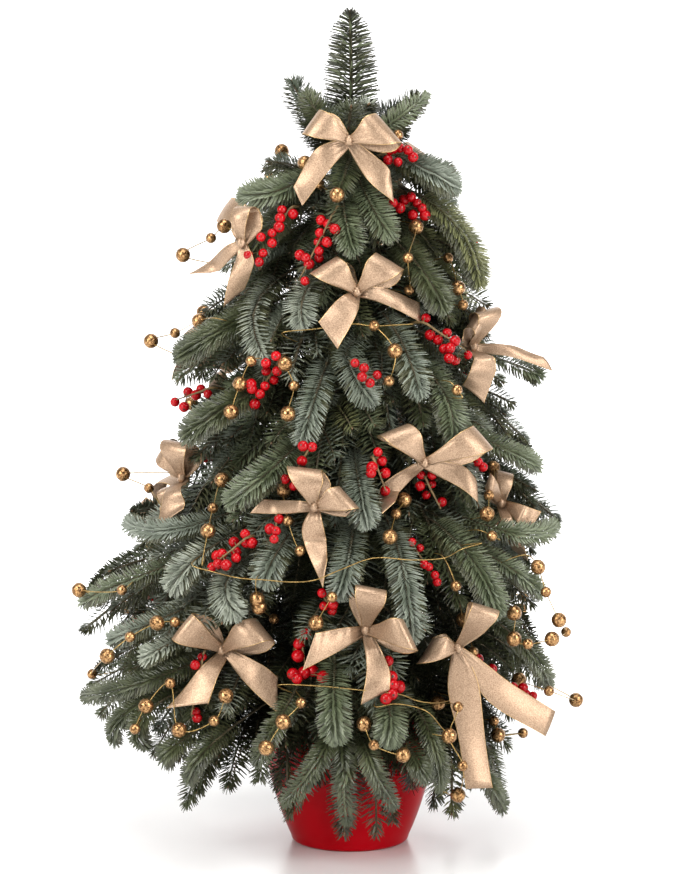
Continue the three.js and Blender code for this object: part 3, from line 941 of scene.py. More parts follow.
def stemTree():
    # places along every stem, about stemEvery millimetres apart
    spots = []
    for shoot in allShoots:
        count = max(seating["stemFewest"], int(shoot["length"] / seating["stemEvery"]))
        spots.extend(curvePoints(shoot, np.linspace(seating["stemFrom"], 1, count))[0])
    found = KDTree(len(spots))
    for number, spot in enumerate(spots):
        found.insert(spot, number)
    found.balance()
    return found


blades = sprayBlades()
stems = stemTree()
eye = np.array(cameraPlace) / mm


def rayDistance(origin, direction):
    hit = blades.ray_cast(Vector(origin), Vector(direction))
    return hit[3] if hit[0] is not None else None


def patchDistance(origin, direction, right, up, patch):
    # how far the foliage is along a ray, taken near the front of a small patch round it
    found = []
    for i in seating["patchSteps"]:
        for j in seating["patchSteps"]:
            distance = rayDistance(origin + (right * i + up * j) * patch, direction)
            if distance is not None:
                found.append(distance)
    if len(found) < seating["fewest"]:
        return None
    return float(np.quantile(found, seating["nearest"]))


def pressedIn(point, direction):
    # moves a place inwards until a stem is near enough to hold what sits there
    for _ in range(int(seating["deepest"] / seating["step"])):
        if stems.find(point)[2] <= seating["fromStem"]:
            break
        point = point + direction * seating["step"]
    return point


def seatPixel(u, v, lift, patch=seating["patch"]):
    # a place in front of the foliage at a pixel, or near the tree's middle plane where there is none
    ray = np.array(pixelRay(u, v))
    distance = patchDistance(eye, ray, np.array(cameraRight), np.array(cameraUp), patch)
    if distance is None:
        return eye + ray * ((seating["outside"] - eye[1]) / ray[1] - lift)
    return pressedIn(eye + ray * (distance - lift), ray)


def seatAround(direction, level, lift, patch=seating["patch"]):
    # the same from any other side, level with a height
    out = outward(direction)
    origin = out * seating["reach"] + upward * level
    distance = patchDistance(origin, -out, asideOf(out), upward, patch)
    if distance is None:
        distance = seating["reach"] - seating["emptyShare"] * outlineRadius(direction, level)
    return pressedIn(origin - out * (distance - lift), -out)


class Place:
    # a flat frame on the tree's face: right, up and towards the viewer, in which a decoration is laid out
    def __init__(self, origin, facing, slope, turn=0.0):
        self.origin = np.asarray(origin, float)
        away = unit(self.origin * (1, 1, 0)) * math.cos(slope) + upward * math.sin(slope)
        toEye = unit(eye - self.origin)
        self.normal = unit(away * (1 - facing) + toEye * facing)
        right = unit(np.cross(upward, self.normal))
        up = np.cross(self.normal, right)
        self.right = right * math.cos(turn) + up * math.sin(turn)
        self.up = up * math.cos(turn) - right * math.sin(turn)

    def fromPixel(self, u, v):
        # a pixel of the photograph as right, up and depth in this frame
        ray = np.array(pixelRay(u, v))
        distance = np.dot(self.origin - eye, self.normal) / np.dot(ray, self.normal)
        offset = eye + ray * distance - self.origin
        return np.array([np.dot(offset, self.right), np.dot(offset, self.up), 0.0])

    def fromPoint(self, point):
        offset = np.asarray(point, float) - self.origin
        return np.stack([offset @ self.right, offset @ self.up, offset @ self.normal], -1)

    def toTree(self, local):
        local = np.asarray(local, float)
        return (self.origin + local[..., :1] * self.right + local[..., 1:2] * self.up
                + local[..., 2:3] * self.normal)


def smoothStep(x):
    x = np.clip(x, 0, 1)
    return x * x * (3 - 2 * x)


def smoothPath(points, count):
    # an even curve through a row of points
    points = np.asarray(points, float)
    padded = np.concatenate([[2 * points[0] - points[1]], points, [2 * points[-1] - points[-2]]])
    spans = len(points) - 1
    steps = np.linspace(0, spans, count)
    i = np.minimum(steps.astype(int), spans - 1)
    t = (steps - i)[:, None]
    a, b, c, d = padded[i], padded[i + 1], padded[i + 2], padded[i + 3]
    square, cube = 2 * a - 5 * b + 4 * c - d, 3 * b - a - 3 * c + d
    return 0.5 * (2 * b + (c - a) * t + square * t ** 2 + cube * t ** 3)


# Bows of wired ribbon
ribbonLook = {"dark": (0.26, 0.165, 0.1), "light": (0.475, 0.332, 0.224), "mottleScale": 1100,
              "roughness": 0.38, "roughnessSpread": 0.12, "metallic": 0.55, "specular": 0.5, "bump": 0.45,
              "bumpScale": 1500, "bumpDepth": 0.0004}
ribbonEdgeLook = {"dark": (0.42, 0.26, 0.11), "light": (0.64, 0.43, 0.21), "mottleScale": 700,
                  "roughness": 0.35, "metallic": 0.7, "bump": 0.2, "bumpScale": 1500}
ribbon = {
    "across": (-1, -0.95, -0.72, -0.45, -0.15, 0.15, 0.45, 0.72, 0.95, 1),
    "thickness": 0.36,
    "rows": 22,
    "pinch": 3.4,
    "pleat": 2.3,
    "pleatWaves": 3.2,
    "pleatStart": 0.6,
    "pleatPower": 1.2,
    "cup": 1.6,
    "lift": 7,
    "slope": math.radians(14),
    "facing": 0.55,
    "patch": 10,
    # how it is laid on the sprays
    "clear": 4.5,
    "mostShift": 26,
    "mostSink": 12,
    "castFrom": 60,
    "castAcross": (-0.8, 0, 0.8),
    "evenRows": 4,
    "layFrom": 0.3,
    # a loop: its course, and after what share of its length it is open, laid on the sprays and without pleats
    "loopAlong": (0, 0.25, 0.6, 0.9, 1.0, 0.95, 0.7, 0.3, 0),
    "loopDepth": (2, 10, 17, 14, 4, -5, -8, -5, 0),
    "loopLength": 36,
    "loopShift": (-4, 20),
    "loopOpen": 0.8,
    "loopLaid": 0.9,
    "loopPleats": 0.75,
    "loopSteps": 200,
    # a tail: its half waves, and how high they are on the first tail and on the others
    "tailWaves": 2.2,
    "tailHeights": (2.2, -2.0),
    "tailBehind": 1.5,
    "tailSink": 2.5,
    "tailTwist": 1.5,
    "tailPleats": 0.6,
    # the wire that holds the bow, in the bow's own frame
    "pick": ((0, 0, 2), (1, -3, -14), (0, -8, -44)),
    "pickRings": 6,
    "pickRadius": 0.6,
}
knotLook = {"rows": 9, "columns": 16, "wide": 3.6, "tall": 4.4, "deep": 3.2, "ridge": 0.1, "ridges": 4}
# knot: the pixel of the knot; loops: the two corners of each loop's fold, and how far it opens;
# tails: pairs of pixels across the ribbon, the last pair being the cut end
bows = {
    "top": {"knot": (349, 141), "lift": 13,
            "loops": [((319, 110), (302, 134), 5), ((377, 114), (402, 143), -5)],
            "tails": [[((315, 150), (330, 169)), ((293, 186), (302, 205))],
                      [((386, 165), (368, 180)), ((391, 177), (394, 202))]]},
    "upperLeft": {"knot": (242, 243), "loops": [((255, 207), (238, 207), 6)],
                  "tails": [[((212, 252), (217, 266)), ((182, 272), (204, 271))],
                            [((253, 262), (232, 268)), ((238, 288), (217, 306))],
                            [((232, 229), (262, 227)), ((237, 207), (255, 207))]]},
    "upperMiddle": {"knot": (357, 292), "loops": [((336, 257), (309, 274), 5), ((376, 253), (404, 270), -5)],
                    "tails": [[((335, 303), (356, 316)), ((318, 324), (337, 351))],
                              [((386, 288), (385, 304)), ((420, 301), (422, 321))]]},
    "upperRight": {"knot": (472, 347), "loops": [((485, 310), (462, 316), 5), ((470, 309), (458, 330), -5)],
                   "tails": [[((506, 347), (503, 358)), ((534, 359), (543, 373))],
                             [((485, 373), (460, 372)), ((482, 404), (460, 386))]]},
    "middleLeft": {"knot": (183, 478), "loops": [((199, 446), (173, 441), 5), ((174, 439), (160, 458), -5)],
                   "tails": [[((196, 497), (178, 498)), ((199, 512), (172, 533))],
                             [((177, 487), (166, 488)), ((176, 500), (166, 506))]]},
    "middle": {"knot": (315, 507), "loops": [((322, 470), (287, 466), 5), ((340, 487), (360, 509), -5)],
               "tails": [[((290, 500), (287, 513)), ((261, 498), (248, 512))],
                         [((325, 535), (302, 536)), ((328, 560), (324, 588))]]},
    "middleRight": {"knot": (424, 463), "lift": 4,
                    "loops": [((407, 424), (377, 436), 5), ((472, 426), (492, 449), -5)],
                    "tails": [[((386, 484), (406, 488)), ((377, 515), (390, 503))],
                              [((462, 464), (455, 483)), ((478, 478), (480, 502))]]},
    "right": {"knot": (501, 503), "lift": 10, "facing": 0.9,
              "loops": [((497, 470), (513, 474), 4), ((488, 474), (483, 488), -3)],
              "tails": [[((519, 505), (512, 519)), ((538, 512), (523, 536))],
                        [((502, 536), (514, 532)), ((512, 549), (528, 561))]]},
    "lowerLeft": {"knot": (223, 650), "lift": 4,
                  "loops": [((203, 615), (183, 640), 5), ((258, 619), (276, 641), -5)],
                  "tails": [[((200, 676), (222, 681)), ((174, 709), (216, 704))],
                            [((261, 664), (243, 680)), ((276, 677), (276, 713))]]},
    "lowerMiddle": {"knot": (366, 630), "loops": [((354, 586), (385, 592), 5), ((402, 621), (416, 652), -5)],
                    "tails": [[((338, 629), (338, 652)), ((315, 634), (302, 671))],
                              [((388, 668), (366, 668)), ((389, 690), (360, 705))]]},
    "lowerRight": {"knot": (457, 648), "lift": 4,
                   "loops": [((434, 638), (418, 664), 5), ((462, 604), (489, 612), -5)],
                   "tails": [[((481, 684), (451, 688)), ((491, 735), (463, 735)), ((498, 788), (471, 789))],
                             [((512, 680), (495, 703)), ((562, 711), (552, 736))]]},
}
# more of the same bows on the far sides: which bow, its direction round the tree, its height and its turn
moreBows = [
    ("upperMiddle", 62, 560, 0.1), ("middleRight", 128, 520, -0.15), ("middle", 30, 430, 0.1),
    ("lowerMiddle", 92, 440, -0.1), ("upperMiddle", 145, 400, 0.12), ("lowerLeft", 62, 335, 0.0),
    ("top", 112, 300, -0.1), ("middleRight", 46, 250, 0.12), ("middle", 150, 268, -0.12),
    ("lowerLeft", 84, 190, 0.1), ("lowerMiddle", 140, 170, -0.05), ("upperMiddle", 46, 146, 0.0),
]


def drape(place, path, bars):
    # lays a band on the sprays: out where it would sink into them, and in where it would stand off them
    need = np.full(len(path), -ribbon["mostSink"], float)
    above = ribbon["castFrom"]
    for i, (spot, bar) in enumerate(zip(path, bars)):
        for side in ribbon["castAcross"]:
            point = place.toTree(spot + bar * side)
            hit = blades.ray_cast(Vector(point + place.normal * above), Vector(-place.normal), 2 * above)
            if hit[0] is not None:
                need[i] = max(need[i], above - hit[3] + ribbon["clear"])
    need = np.minimum(need, ribbon["mostShift"])
    reach = ribbon["evenRows"]

    def neighbours(values):
        padded = np.pad(values, reach, mode="edge")
        return [padded[i:i + 2 * reach + 1] for i in range(len(values))]

    highest = np.array([rows.max() for rows in neighbours(need)])
    return np.array([rows.mean() for rows in neighbours(highest)])


def ribbonBand(batch, place, path, bars, pleats, draped=False):
    # a band of ribbon with a small thickness; its two long edges are the gold thread
    if draped:
        path = path.copy()
        path[:, 2] += drape(place, path, bars) * smoothStep(np.linspace(0, 1, len(path)) / ribbon["layFrom"])
    across = np.array(ribbon["across"])
    grid = path[:, None, :] + bars[:, None, :] * across[None, :, None]
    waves = np.cos(ribbon["pleatWaves"] * math.pi * across + ribbon["pleatStart"])
    ripple = ribbon["pleat"] * waves[None, :] * pleats[:, None]
    cup = ribbon["cup"] * (1 - across ** 2)[None, :] * (1 - pleats)[:, None]
    grid[..., 2] += ripple + cup
    grid = place.toTree(grid)
    lengthways = np.gradient(grid, axis=0)
    crossways = np.gradient(grid, axis=1)
    face = unit(np.cross(crossways, lengthways)) * ribbon["thickness"] / 2
    rows, columns = grid.shape[:2]
    points = np.concatenate([(grid + face).reshape(-1, 3), (grid - face).reshape(-1, 3)])
    count = rows * columns
    quads = gridQuads(rows, columns)
    kinds = np.zeros(quads.shape[:2], int)
    kinds[:, 0] = kinds[:, -1] = 1
    kinds, flat = kinds.ravel(), quads.reshape(-1, 4)
    i, j = np.arange(rows - 1), np.arange(columns - 1)
    # the thin sides: the first and the last column, then the first and the last row
    first, bottom = i * columns, (rows - 1) * columns + j
    sides = []
    for a, over, step in ((first, columns, 1), (first + columns - 1, columns, -1), (j, 1, -1), (bottom, 1, 1)):
        sides.append(np.stack([a, a + over, a + over + count, a + count][::step], -1))
    sides = np.concatenate(sides)
    batch.add(points, np.concatenate([flat, flat[:, ::-1] + count, sides]),
              quadKinds=np.concatenate([kinds, kinds, np.ones(len(sides), int)]))


def besideHeading(heading, bar):
    # across a heading, to the side that a bar points to
    side = np.array([-heading[1], heading[0]])
    return -side if np.dot(bar, side) < 0 else side


def ribbonLoop(batch, place, a, b, opening):
    # out from the knot, over the fold and back behind
    steps = np.linspace(0, 1, ribbon["rows"])
    marks = np.linspace(0, 1, len(ribbon["loopAlong"]))
    profile = smoothPath(np.stack([marks, ribbon["loopAlong"], ribbon["loopDepth"]], -1), ribbon["loopSteps"])
    along = np.interp(steps, profile[:, 0], profile[:, 1])
    depth = np.interp(steps, profile[:, 0], profile[:, 2])
    middle, bar = (a + b)[:2] / 2, (a - b)[:2] / 2
    length, half = np.linalg.norm(middle), np.linalg.norm(bar)
    heading = middle / length
    wide = smoothStep(along / ribbon["loopOpen"])[:, None]
    direction = mixed(besideHeading(heading, bar), bar / half, wide)
    bars = np.concatenate([direction * mixed(ribbon["pinch"], half, wide), np.zeros((len(steps), 1))], -1)
    returning = (steps > 0.5) * np.sin(np.pi * np.clip(along, 0, 1)) * opening
    centre = heading * (along * length)[:, None] + bar / half * returning[:, None]
    path = np.concatenate([centre, (depth * length / ribbon["loopLength"])[:, None]], -1)
    front = slice(0, ribbon["rows"] // 2)
    shift = np.clip(drape(place, path[front], bars[front]).max(), *ribbon["loopShift"])
    path[:, 2] += shift * smoothStep(along / ribbon["loopLaid"])
    pleats = (1 - smoothStep(along / ribbon["loopPleats"])) ** ribbon["pleatPower"]
    ribbonBand(batch, place, path, bars, pleats)


def ribbonTail(batch, place, pairs, wave):
    # from the knot through the given bars to the slanted cut
    centres = [np.zeros(2)] + [(a + b)[:2] / 2 for a, b in pairs]
    halves = [(a - b)[:2] / 2 for a, b in pairs]
    side = besideHeading(unit(centres[1]), halves[0])
    halves = [half if np.dot(half, halves[0]) > 0 else -half for half in halves]
    centre = smoothPath(centres, ribbon["rows"])
    half = smoothPath([side * ribbon["pinch"]] + halves, ribbon["rows"])
    steps = np.linspace(0, 1, ribbon["rows"])
    ripple = wave * np.sin(ribbon["tailWaves"] * math.pi * steps) * steps
    depth = -ribbon["tailBehind"] + ripple - ribbon["tailSink"] * smoothStep(steps)
    twist = ribbon["tailTwist"] * np.sin(2 * math.pi * steps)
    path = np.concatenate([centre, depth[:, None]], -1)
    bars = np.concatenate([half, twist[:, None]], -1)
    pleats = (1 - smoothStep(steps / ribbon["tailPleats"])) ** ribbon["pleatPower"]
    ribbonBand(batch, place, path, bars, pleats, draped=True)


def ribbonKnot(batch, place):
    # a small pleated cushion where the ribbon is gathered
    rows, columns, deep = knotLook["rows"], knotLook["columns"], knotLook["deep"]
    rise = np.linspace(-math.pi / 2, math.pi / 2, rows)
    turn = ringAngles(columns)
    ridge = 1 + knotLook["ridge"] * np.cos(knotLook["ridges"] * turn)[None, :] * np.cos(rise)[:, None]
    x = knotLook["wide"] * np.cos(rise)[:, None] * np.cos(turn)[None, :] * ridge
    z = deep * np.cos(rise)[:, None] * np.sin(turn)[None, :] * ridge + deep
    y = knotLook["tall"] * np.sin(rise)[:, None] * np.ones((1, columns))
    grid = place.toTree(np.stack([x, y, z], -1))
    batch.add(grid.reshape(-1, 3), gridQuads(rows, columns, closed=True))


def bowShape(place, bow):
    # the bow's corners in its own frame, so that it can be tied again elsewhere
    loops = [(place.fromPixel(*a), place.fromPixel(*b), opening) for a, b, opening in bow["loops"]]
    tails = [[(place.fromPixel(*a), place.fromPixel(*b)) for a, b in pairs] for pairs in bow["tails"]]
    return loops, tails


def tieBow(batch, wires, place, shape):
    loops, tails = shape
    for k, pairs in enumerate(tails):
        ribbonTail(batch, place, pairs, ribbon["tailHeights"][min(k, 1)])
    for a, b, opening in loops:
        ribbonLoop(batch, place, a, b, opening)
    ribbonKnot(batch, place)
    pick = place.toTree(np.array(ribbon["pick"]))
    addTube(wires, smoothPath(pick, ribbon["pickRings"]), ribbon["pickRadius"])


def bowPieces(wires):
    batch = Batch()
    shapes = {}
    for name, bow in bows.items():
        knot = seatPixel(*bow["knot"], ribbon["lift"], ribbon["patch"])
        knot = knot - np.array(pixelRay(*bow["knot"])) * bow.get("lift", 0)
        place = Place(knot, bow.get("facing", ribbon["facing"]), ribbon["slope"])
        shapes[name] = bowShape(place, bow)
        tieBow(batch, wires, place, shapes[name])
    for name, direction, level, turn in moreBows:
        origin = seatAround(math.radians(direction), level, ribbon["lift"], ribbon["patch"])
        tieBow(batch, wires, Place(origin, 0, ribbon["slope"], turn), shapes[name])
    materials = [nodeSurface("ribbonGold", ribbonLook), nodeSurface("ribbonEdge", ribbonEdgeLook)]
    piece = batch.piece("bows", materials)
    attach(piece, "root")
    print("bows", len(bows) + len(moreBows), "triangles", batch.triangleCount())


# Beads on gold wire
beadLook = {"dark": (0.11, 0.045, 0.014), "light": (0.58, 0.34, 0.15), "mottleScale": 620, "roughness": 0.3,
            "roughnessSpread": 0.12, "metallic": 0.85, "bump": 0.5, "bumpScale": 700, "bumpDepth": 0.0006}
wireLook = {"dark": (0.3, 0.19, 0.06), "light": (0.5, 0.34, 0.12), "mottleScale": 400, "roughness": 0.35,
            "metallic": 0.8}
beads = {"seed": 21, "large": 6.2, "small": 4.4, "wire": 0.42, "wireSteps": 6, "lift": 7, "wireLift": 4,
         "tuck": 18, "rows": 8, "columns": 12, "lump": 0.03, "facing": 0.4, "slope": math.radians(14),
         "longString": 4}
# each string: its beads in order as pixels, L for a large bead and s for a small one, o for wire alone
beadStrings = {
    "topSingle": [(398, 135, "s")],
    "topRight": [(416, 227, "L"), (408, 258, "s"), (409, 290, "s")],
    "topLeft": [(305, 163, "L"), (319, 184, "s"), (337, 195, "L")],
    "leftHigh": [(183, 255, "L"), (211, 238, "s"), (224, 226, "L"), (236, 232, "o")],
    "leftMiddle": [(151, 341, "L"), (175, 333, "s"), (199, 321, "L"), (214, 318, "o")],
    "rightHigh": [(448, 258, "s"), (458, 288, "L"), (463, 305, "s")],
    "middleHigh": [(282, 333, "o"), (315, 329, "o"), (353, 324, "o"), (374, 326, "s"), (413, 324, "o")],
    "middleDrop": [(374, 326, "o"), (395, 351, "L"), (389, 381, "s")],
    "leftInner": [(251, 361, "s"), (240, 384, "L"), (231, 412, "L")],
    "middleInner": [(285, 364, "L"), (294, 386, "s"), (288, 414, "L")],
    "leftLow": [(222, 480, "L"), (213, 508, "s"), (208, 531, "L"), (202, 565, "o")],
    "farLeft": [(123, 474, "L"), (149, 488, "s"), (165, 509, "s")],
    "middleLow": [(284, 490, "L"), (288, 521, "s"), (300, 551, "s")],
    "leftTip": [(79, 590, "L"), (98, 592, "o"), (122, 590, "s")],
    "hanging": [(256, 580, "o"), (257, 599, "L"), (259, 607, "L"), (274, 619, "s")],
    "berrySide": [(298, 650, "s"), (316, 623, "L"), (332, 597, "s")],
    "leftBranch": [(92, 674, "s"), (107, 656, "L"), (130, 637, "s"), (157, 623, "L"), (175, 622, "s")],
    "rightMiddle": [(493, 468, "L"), (489, 495, "s"), (487, 514, "L")],
    "centreRight": [(404, 500, "L"), (396, 514, "s"), (390, 537, "L")],
    "rightInner": [(444, 558, "o"), (456, 586, "s"), (463, 620, "L"), (473, 652, "s")],
    "farRight": [(526, 555, "o"), (538, 567, "L"), (546, 592, "s"), (559, 620, "L"), (566, 632, "s"),
        (552, 639, "L"), (528, 644, "s"), (514, 639, "L"), (514, 613, "L")],
    "rightSingle": [(478, 530, "o"), (492, 536, "s"), (500, 540, "o")],
    "upperSingle": [(450, 382, "o"), (457, 390, "s"), (462, 398, "o")],
    "rightTip": [(519, 680, "L"), (549, 691, "s"), (576, 700, "L")],
    "lowRight": [(494, 721, "s"), (498, 735, "L"), (523, 733, "s")],
    "lowerRight": [(438, 703, "L"), (458, 707, "s"), (449, 736, "L"), (463, 766, "s"), (458, 795, "L")],
    "potEdge": [(364, 724, "L"), (374, 745, "s"), (403, 755, "L")],
    "lowMiddle": [(301, 703, "s"), (283, 722, "L"), (266, 748, "L")],
    "lowLeft": [(226, 696, "L"), (214, 721, "s"), (179, 730, "L"), (170, 683, "s"), (146, 706, "L"),
        (135, 729, "s")],
    "acrossMiddle": [(192, 565, "o"), (214, 572, "o"), (239, 578, "o"), (265, 580, "o"), (292, 582, "o"),
        (315, 580, "o"), (340, 570, "o"), (374, 558, "o"), (413, 560, "o"), (444, 558, "o"),
        (462, 549, "o"), (482, 543, "o")],
    "acrossLow": [(278, 685, "o"), (319, 686, "o"), (359, 690, "o"), (398, 694, "o"), (418, 701, "o"),
        (438, 703, "o"), (453, 698, "o")],
    "acrossPot": [(376, 707, "o"), (398, 704, "o"), (426, 711, "o"), (442, 728, "o"), (449, 736, "o")],
}
# the same strings again on the far sides: which string, its direction round the tree and its height
moreStrings = [
    ("topLeft", 95, 590), ("topRight", 140, 560), ("rightHigh", 45, 540), ("middleInner", 75, 505),
    ("leftInner", 120, 470), ("leftMiddle", 148, 440), ("middleDrop", 30, 455), ("acrossMiddle", 90, 395),
    ("middleLow", 60, 385), ("rightMiddle", 140, 350), ("centreRight", 38, 340), ("farRight", 46, 300),
    ("leftBranch", 105, 262), ("rightInner", 74, 270), ("lowLeft", 140, 225), ("acrossLow", 60, 215),
    ("rightTip", 150, 205), ("lowRight", 112, 190), ("lowerRight", 40, 170), ("lowMiddle", 80, 140),
    ("potEdge", 128, 130), ("leftTip", 122, 300), ("farLeft", 36, 190), ("topLeft", 60, 470),
]


def addBall(batch, centre, radius, rng):
    # a slightly lumpy bead
    rows, columns = beads["rows"], beads["columns"]
    rise = np.linspace(-math.pi / 2, math.pi / 2, rows + 1)[1:-1]
    turn = ringAngles(columns)
    ring = np.stack([np.cos(rise)[:, None] * np.cos(turn), np.cos(rise)[:, None] * np.sin(turn),
                     np.sin(rise)[:, None] * np.ones(columns)], -1).reshape(-1, 3)
    spread = 1 + beads["lump"] * rng.uniform(-1, 1, (len(ring), 1))
    points = centre + radius * np.concatenate([ring * spread, [[0, 0, -1]], [[0, 0, 1]]])
    batch.add(points, gridQuads(rows - 1, columns, closed=True), endCaps(rows - 1, columns))


def nearestStem(point):
    # the place on a twig, a little further in, that the end of a wire is wound round
    return np.array(stems.find(point - unit(point * (1, 1, 0)) * beads["tuck"])[0])


def settled(points, kinds, direction):
    # moves a string's beads in or out until each is on the foliage of that side
    out = outward(direction)
    points = points.copy()
    for i, kind in enumerate(kinds):
        origin = points[i] + out * (seating["reach"] - points[i] @ out)
        distance = patchDistance(origin, -out, asideOf(out), upward, seating["patch"])
        if distance is not None:
            points[i] = origin - out * (distance - beads["wireLift" if kind == "o" else "lift"])
    return points


def hangString(balls, wires, points, kinds, rng):
    path = np.concatenate([[nearestStem(points[0])], points, [nearestStem(points[-1])]])
    addTube(wires, smoothPath(path, beads["wireSteps"] * len(path)), beads["wire"])
    for point, kind in zip(points, kinds):
        if kind != "o":
            addBall(balls, point, beads["large"] if kind == "L" else beads["small"], rng)


def beadPieces(wires):
    rng = np.random.default_rng(beads["seed"])
    balls = Batch()
    shapes = {}
    for name, spots in beadStrings.items():
        kinds = [kind for _, _, kind in spots]
        points = []
        for u, v, kind in spots:
            points.append(seatPixel(u, v, beads["wireLift"] if kind == "o" else beads["lift"]))
        points = np.array(points)
        if len(points) > beads["longString"]:
            # wire that crosses gaps stays in front of them
            depth = np.linalg.norm(points - eye, axis=1)
            level = np.array([depth[max(0, i - 1):i + 2].min() for i in range(len(depth))])
            points = eye + (points - eye) * (level / depth)[:, None]
        hangString(balls, wires, points, kinds, rng)
        place = Place(points.mean(0), beads["facing"], beads["slope"])
        shapes[name] = (place.fromPoint(points), kinds)
    for name, direction, level in moreStrings:
        local, kinds = shapes[name]
        direction = math.radians(direction)
        place = Place(seatAround(direction, level, beads["lift"]), 0, beads["slope"])
        hangString(balls, wires, settled(place.toTree(local), kinds, direction), kinds, rng)
    piece = balls.piece("beads", [nodeSurface("beadGold", beadLook)])
    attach(piece, "root")
    print("bead triangles", balls.triangleCount())


# Berries on brown twigs
berryLook = {"dark": (0.31, 0.001, 0.004), "light": (0.44, 0.002, 0.006), "mottleScale": 60,
             "roughness": 0.26, "roughnessSpread": 0.05, "specular": 0.24, "coat": 0.1, "bump": 0.05,
             "bumpScale": 400}
berryTipLook = {"dark": (0.03, 0.012, 0.008), "light": (0.08, 0.035, 0.02), "mottleScale": 500,
                "roughness": 0.7, "bump": 0.3, "bumpScale": 900}
stalkLook = {"dark": (0.09, 0.055, 0.02), "light": (0.2, 0.13, 0.05), "mottleScale": 260, "roughness": 0.65,
             "bump": 0.4, "bumpScale": 800}
berries = {
    "seed": 33,
    "radius": 4.2,
    "spread": 0.12,
    "lift": 6,
    "usualDepth": 0.4,
    "bend": 7,
    "uneven": 3.5,
    "facing": 0.6,
    "slope": math.radians(14),
    "turned": 0.5,
    "rows": 8,
    "columns": 10,
    "endRing": 0.2,
    "endLevel": 0.94,
    "endDip": 0.86,
    "across": (0.2, 0.35, 0.9),
}
# the stalk of one berry and the twig of a cluster; root is how deep the twig's foot is
stalkSizes = {"radius": 0.45, "rings": 5, "rise": 1.2, "sunk": 0.8}
clusterTwig = {"radii": (1.3, 0.55), "sides": 5, "rings": 14, "bareRings": 3, "root": 26, "rootSpread": 1.15,
               "front": 2.5, "behind": 7, "places": 4, "past": 3, "share": 0.7}
# each cluster: its berries as pixels, and the two ends of its twig where the photograph shows one
berryClusters = {
    "top": {"spots": [(388, 160), (398, 162), (413, 157), (408, 150), (400, 148), (394, 149), (389, 150)]},
    "topRight": {"spots": [(404, 200), (411, 197), (417, 203), (422, 208), (400, 208), (425, 215),
        (413, 215), (393, 203)]},
    "topLeft": {"spots": [(282, 210), (280, 218), (293, 214), (279, 227), (272, 233), (261, 237),
        (272, 243), (248, 255), (263, 253), (259, 262)]},
    "topMiddle": {"twig": [(337, 208), (299, 281)], "spots": [(321, 220), (328, 224), (335, 229),
        (320, 233), (318, 242), (327, 242), (300, 255), (306, 258), (319, 258), (309, 264), (305, 281),
        (319, 251)]},
    "upperRight": {"twig": [(423, 323), (462, 348)], "spots": [(426, 318), (447, 333), (455, 341),
        (450, 348), (438, 340), (430, 335), (449, 358), (455, 360), (468, 355), (444, 349)]},
    "upperMiddle": {"spots": [(355, 363), (362, 377), (370, 383), (377, 375), (364, 368)]},
    "leftMiddle": {"spots": [(266, 371), (277, 371), (274, 380), (265, 386), (252, 389), (251, 384),
        (260, 394), (255, 404), (266, 363), (276, 356)]},
    "farLeft": {"twig": [(214, 388), (178, 400)], "spots": [(188, 392), (175, 402), (184, 407), (196, 395),
        (201, 389), (208, 394)]},
    "middle": {"spots": [(303, 446), (312, 447), (302, 461), (285, 479), (294, 486)]},
    "centreRight": {"twig": [(373, 458), (386, 492)], "spots": [(378, 452), (382, 461), (372, 467),
        (385, 473), (371, 473), (385, 491)]},
    "rightMiddle": {"size": 0.92, "twig": [(423, 476), (440, 509)], "spots": [(421, 475), (432, 475),
        (432, 484), (420, 486), (426, 495), (442, 502)]},
    "rightPair": {"spots": [(475, 457), (483, 467), (478, 462)]},
    "centreLow": {"spots": [(279, 519), (270, 529), (274, 539), (276, 531)]},
    "leftLow": {"twig": [(249, 537), (206, 571)], "spots": [(234, 542), (245, 534), (246, 543), (252, 543),
        (236, 552), (236, 558), (217, 556), (222, 554), (218, 564), (226, 565), (212, 567)]},
    "rightLow": {"size": 0.8, "spots": [(412, 542), (420, 548), (429, 567), (424, 564), (435, 575),
        (437, 582)]},
    "lowMiddle": {"spots": [(324, 606), (332, 611), (333, 604), (322, 593)]},
    "lowBranch": {"size": 1.15, "spots": [(306, 634), (299, 644), (298, 656), (293, 674), (304, 673),
        (313, 671), (323, 677), (297, 679)]},
    "lowCentre": {"size": 1.15, "spots": [(388, 661), (391, 677), (393, 685), (399, 687), (392, 694),
        (386, 699)]},
    "lowLeft": {"twig": [(206, 650), (192, 716)], "spots": [(202, 657), (195, 665), (205, 669), (187, 699),
        (196, 712), (197, 718)]},
    "lowRight": {"spots": [(478, 659), (492, 669), (513, 687), (523, 688), (526, 694), (533, 696)]},
}
# the same clusters again on the far sides: which cluster, its direction round the tree and its height
moreClusters = [
    ("topRight", 75, 575), ("topMiddle", 115, 545), ("topLeft", 35, 520), ("upperRight", 92, 480),
    ("upperMiddle", 150, 470), ("leftMiddle", 60, 455), ("leftLow", 125, 420), ("centreRight", 15, 400),
    ("rightLow", 80, 360), ("lowBranch", 152, 330), ("middle", 40, 300), ("topMiddle", 178, 330),
    ("upperRight", 100, 240), ("leftLow", 66, 230), ("lowCentre", 135, 225), ("rightMiddle", 22, 205),
    ("lowRight", 160, 185), ("topRight", 50, 160), ("leftMiddle", 104, 150),
]


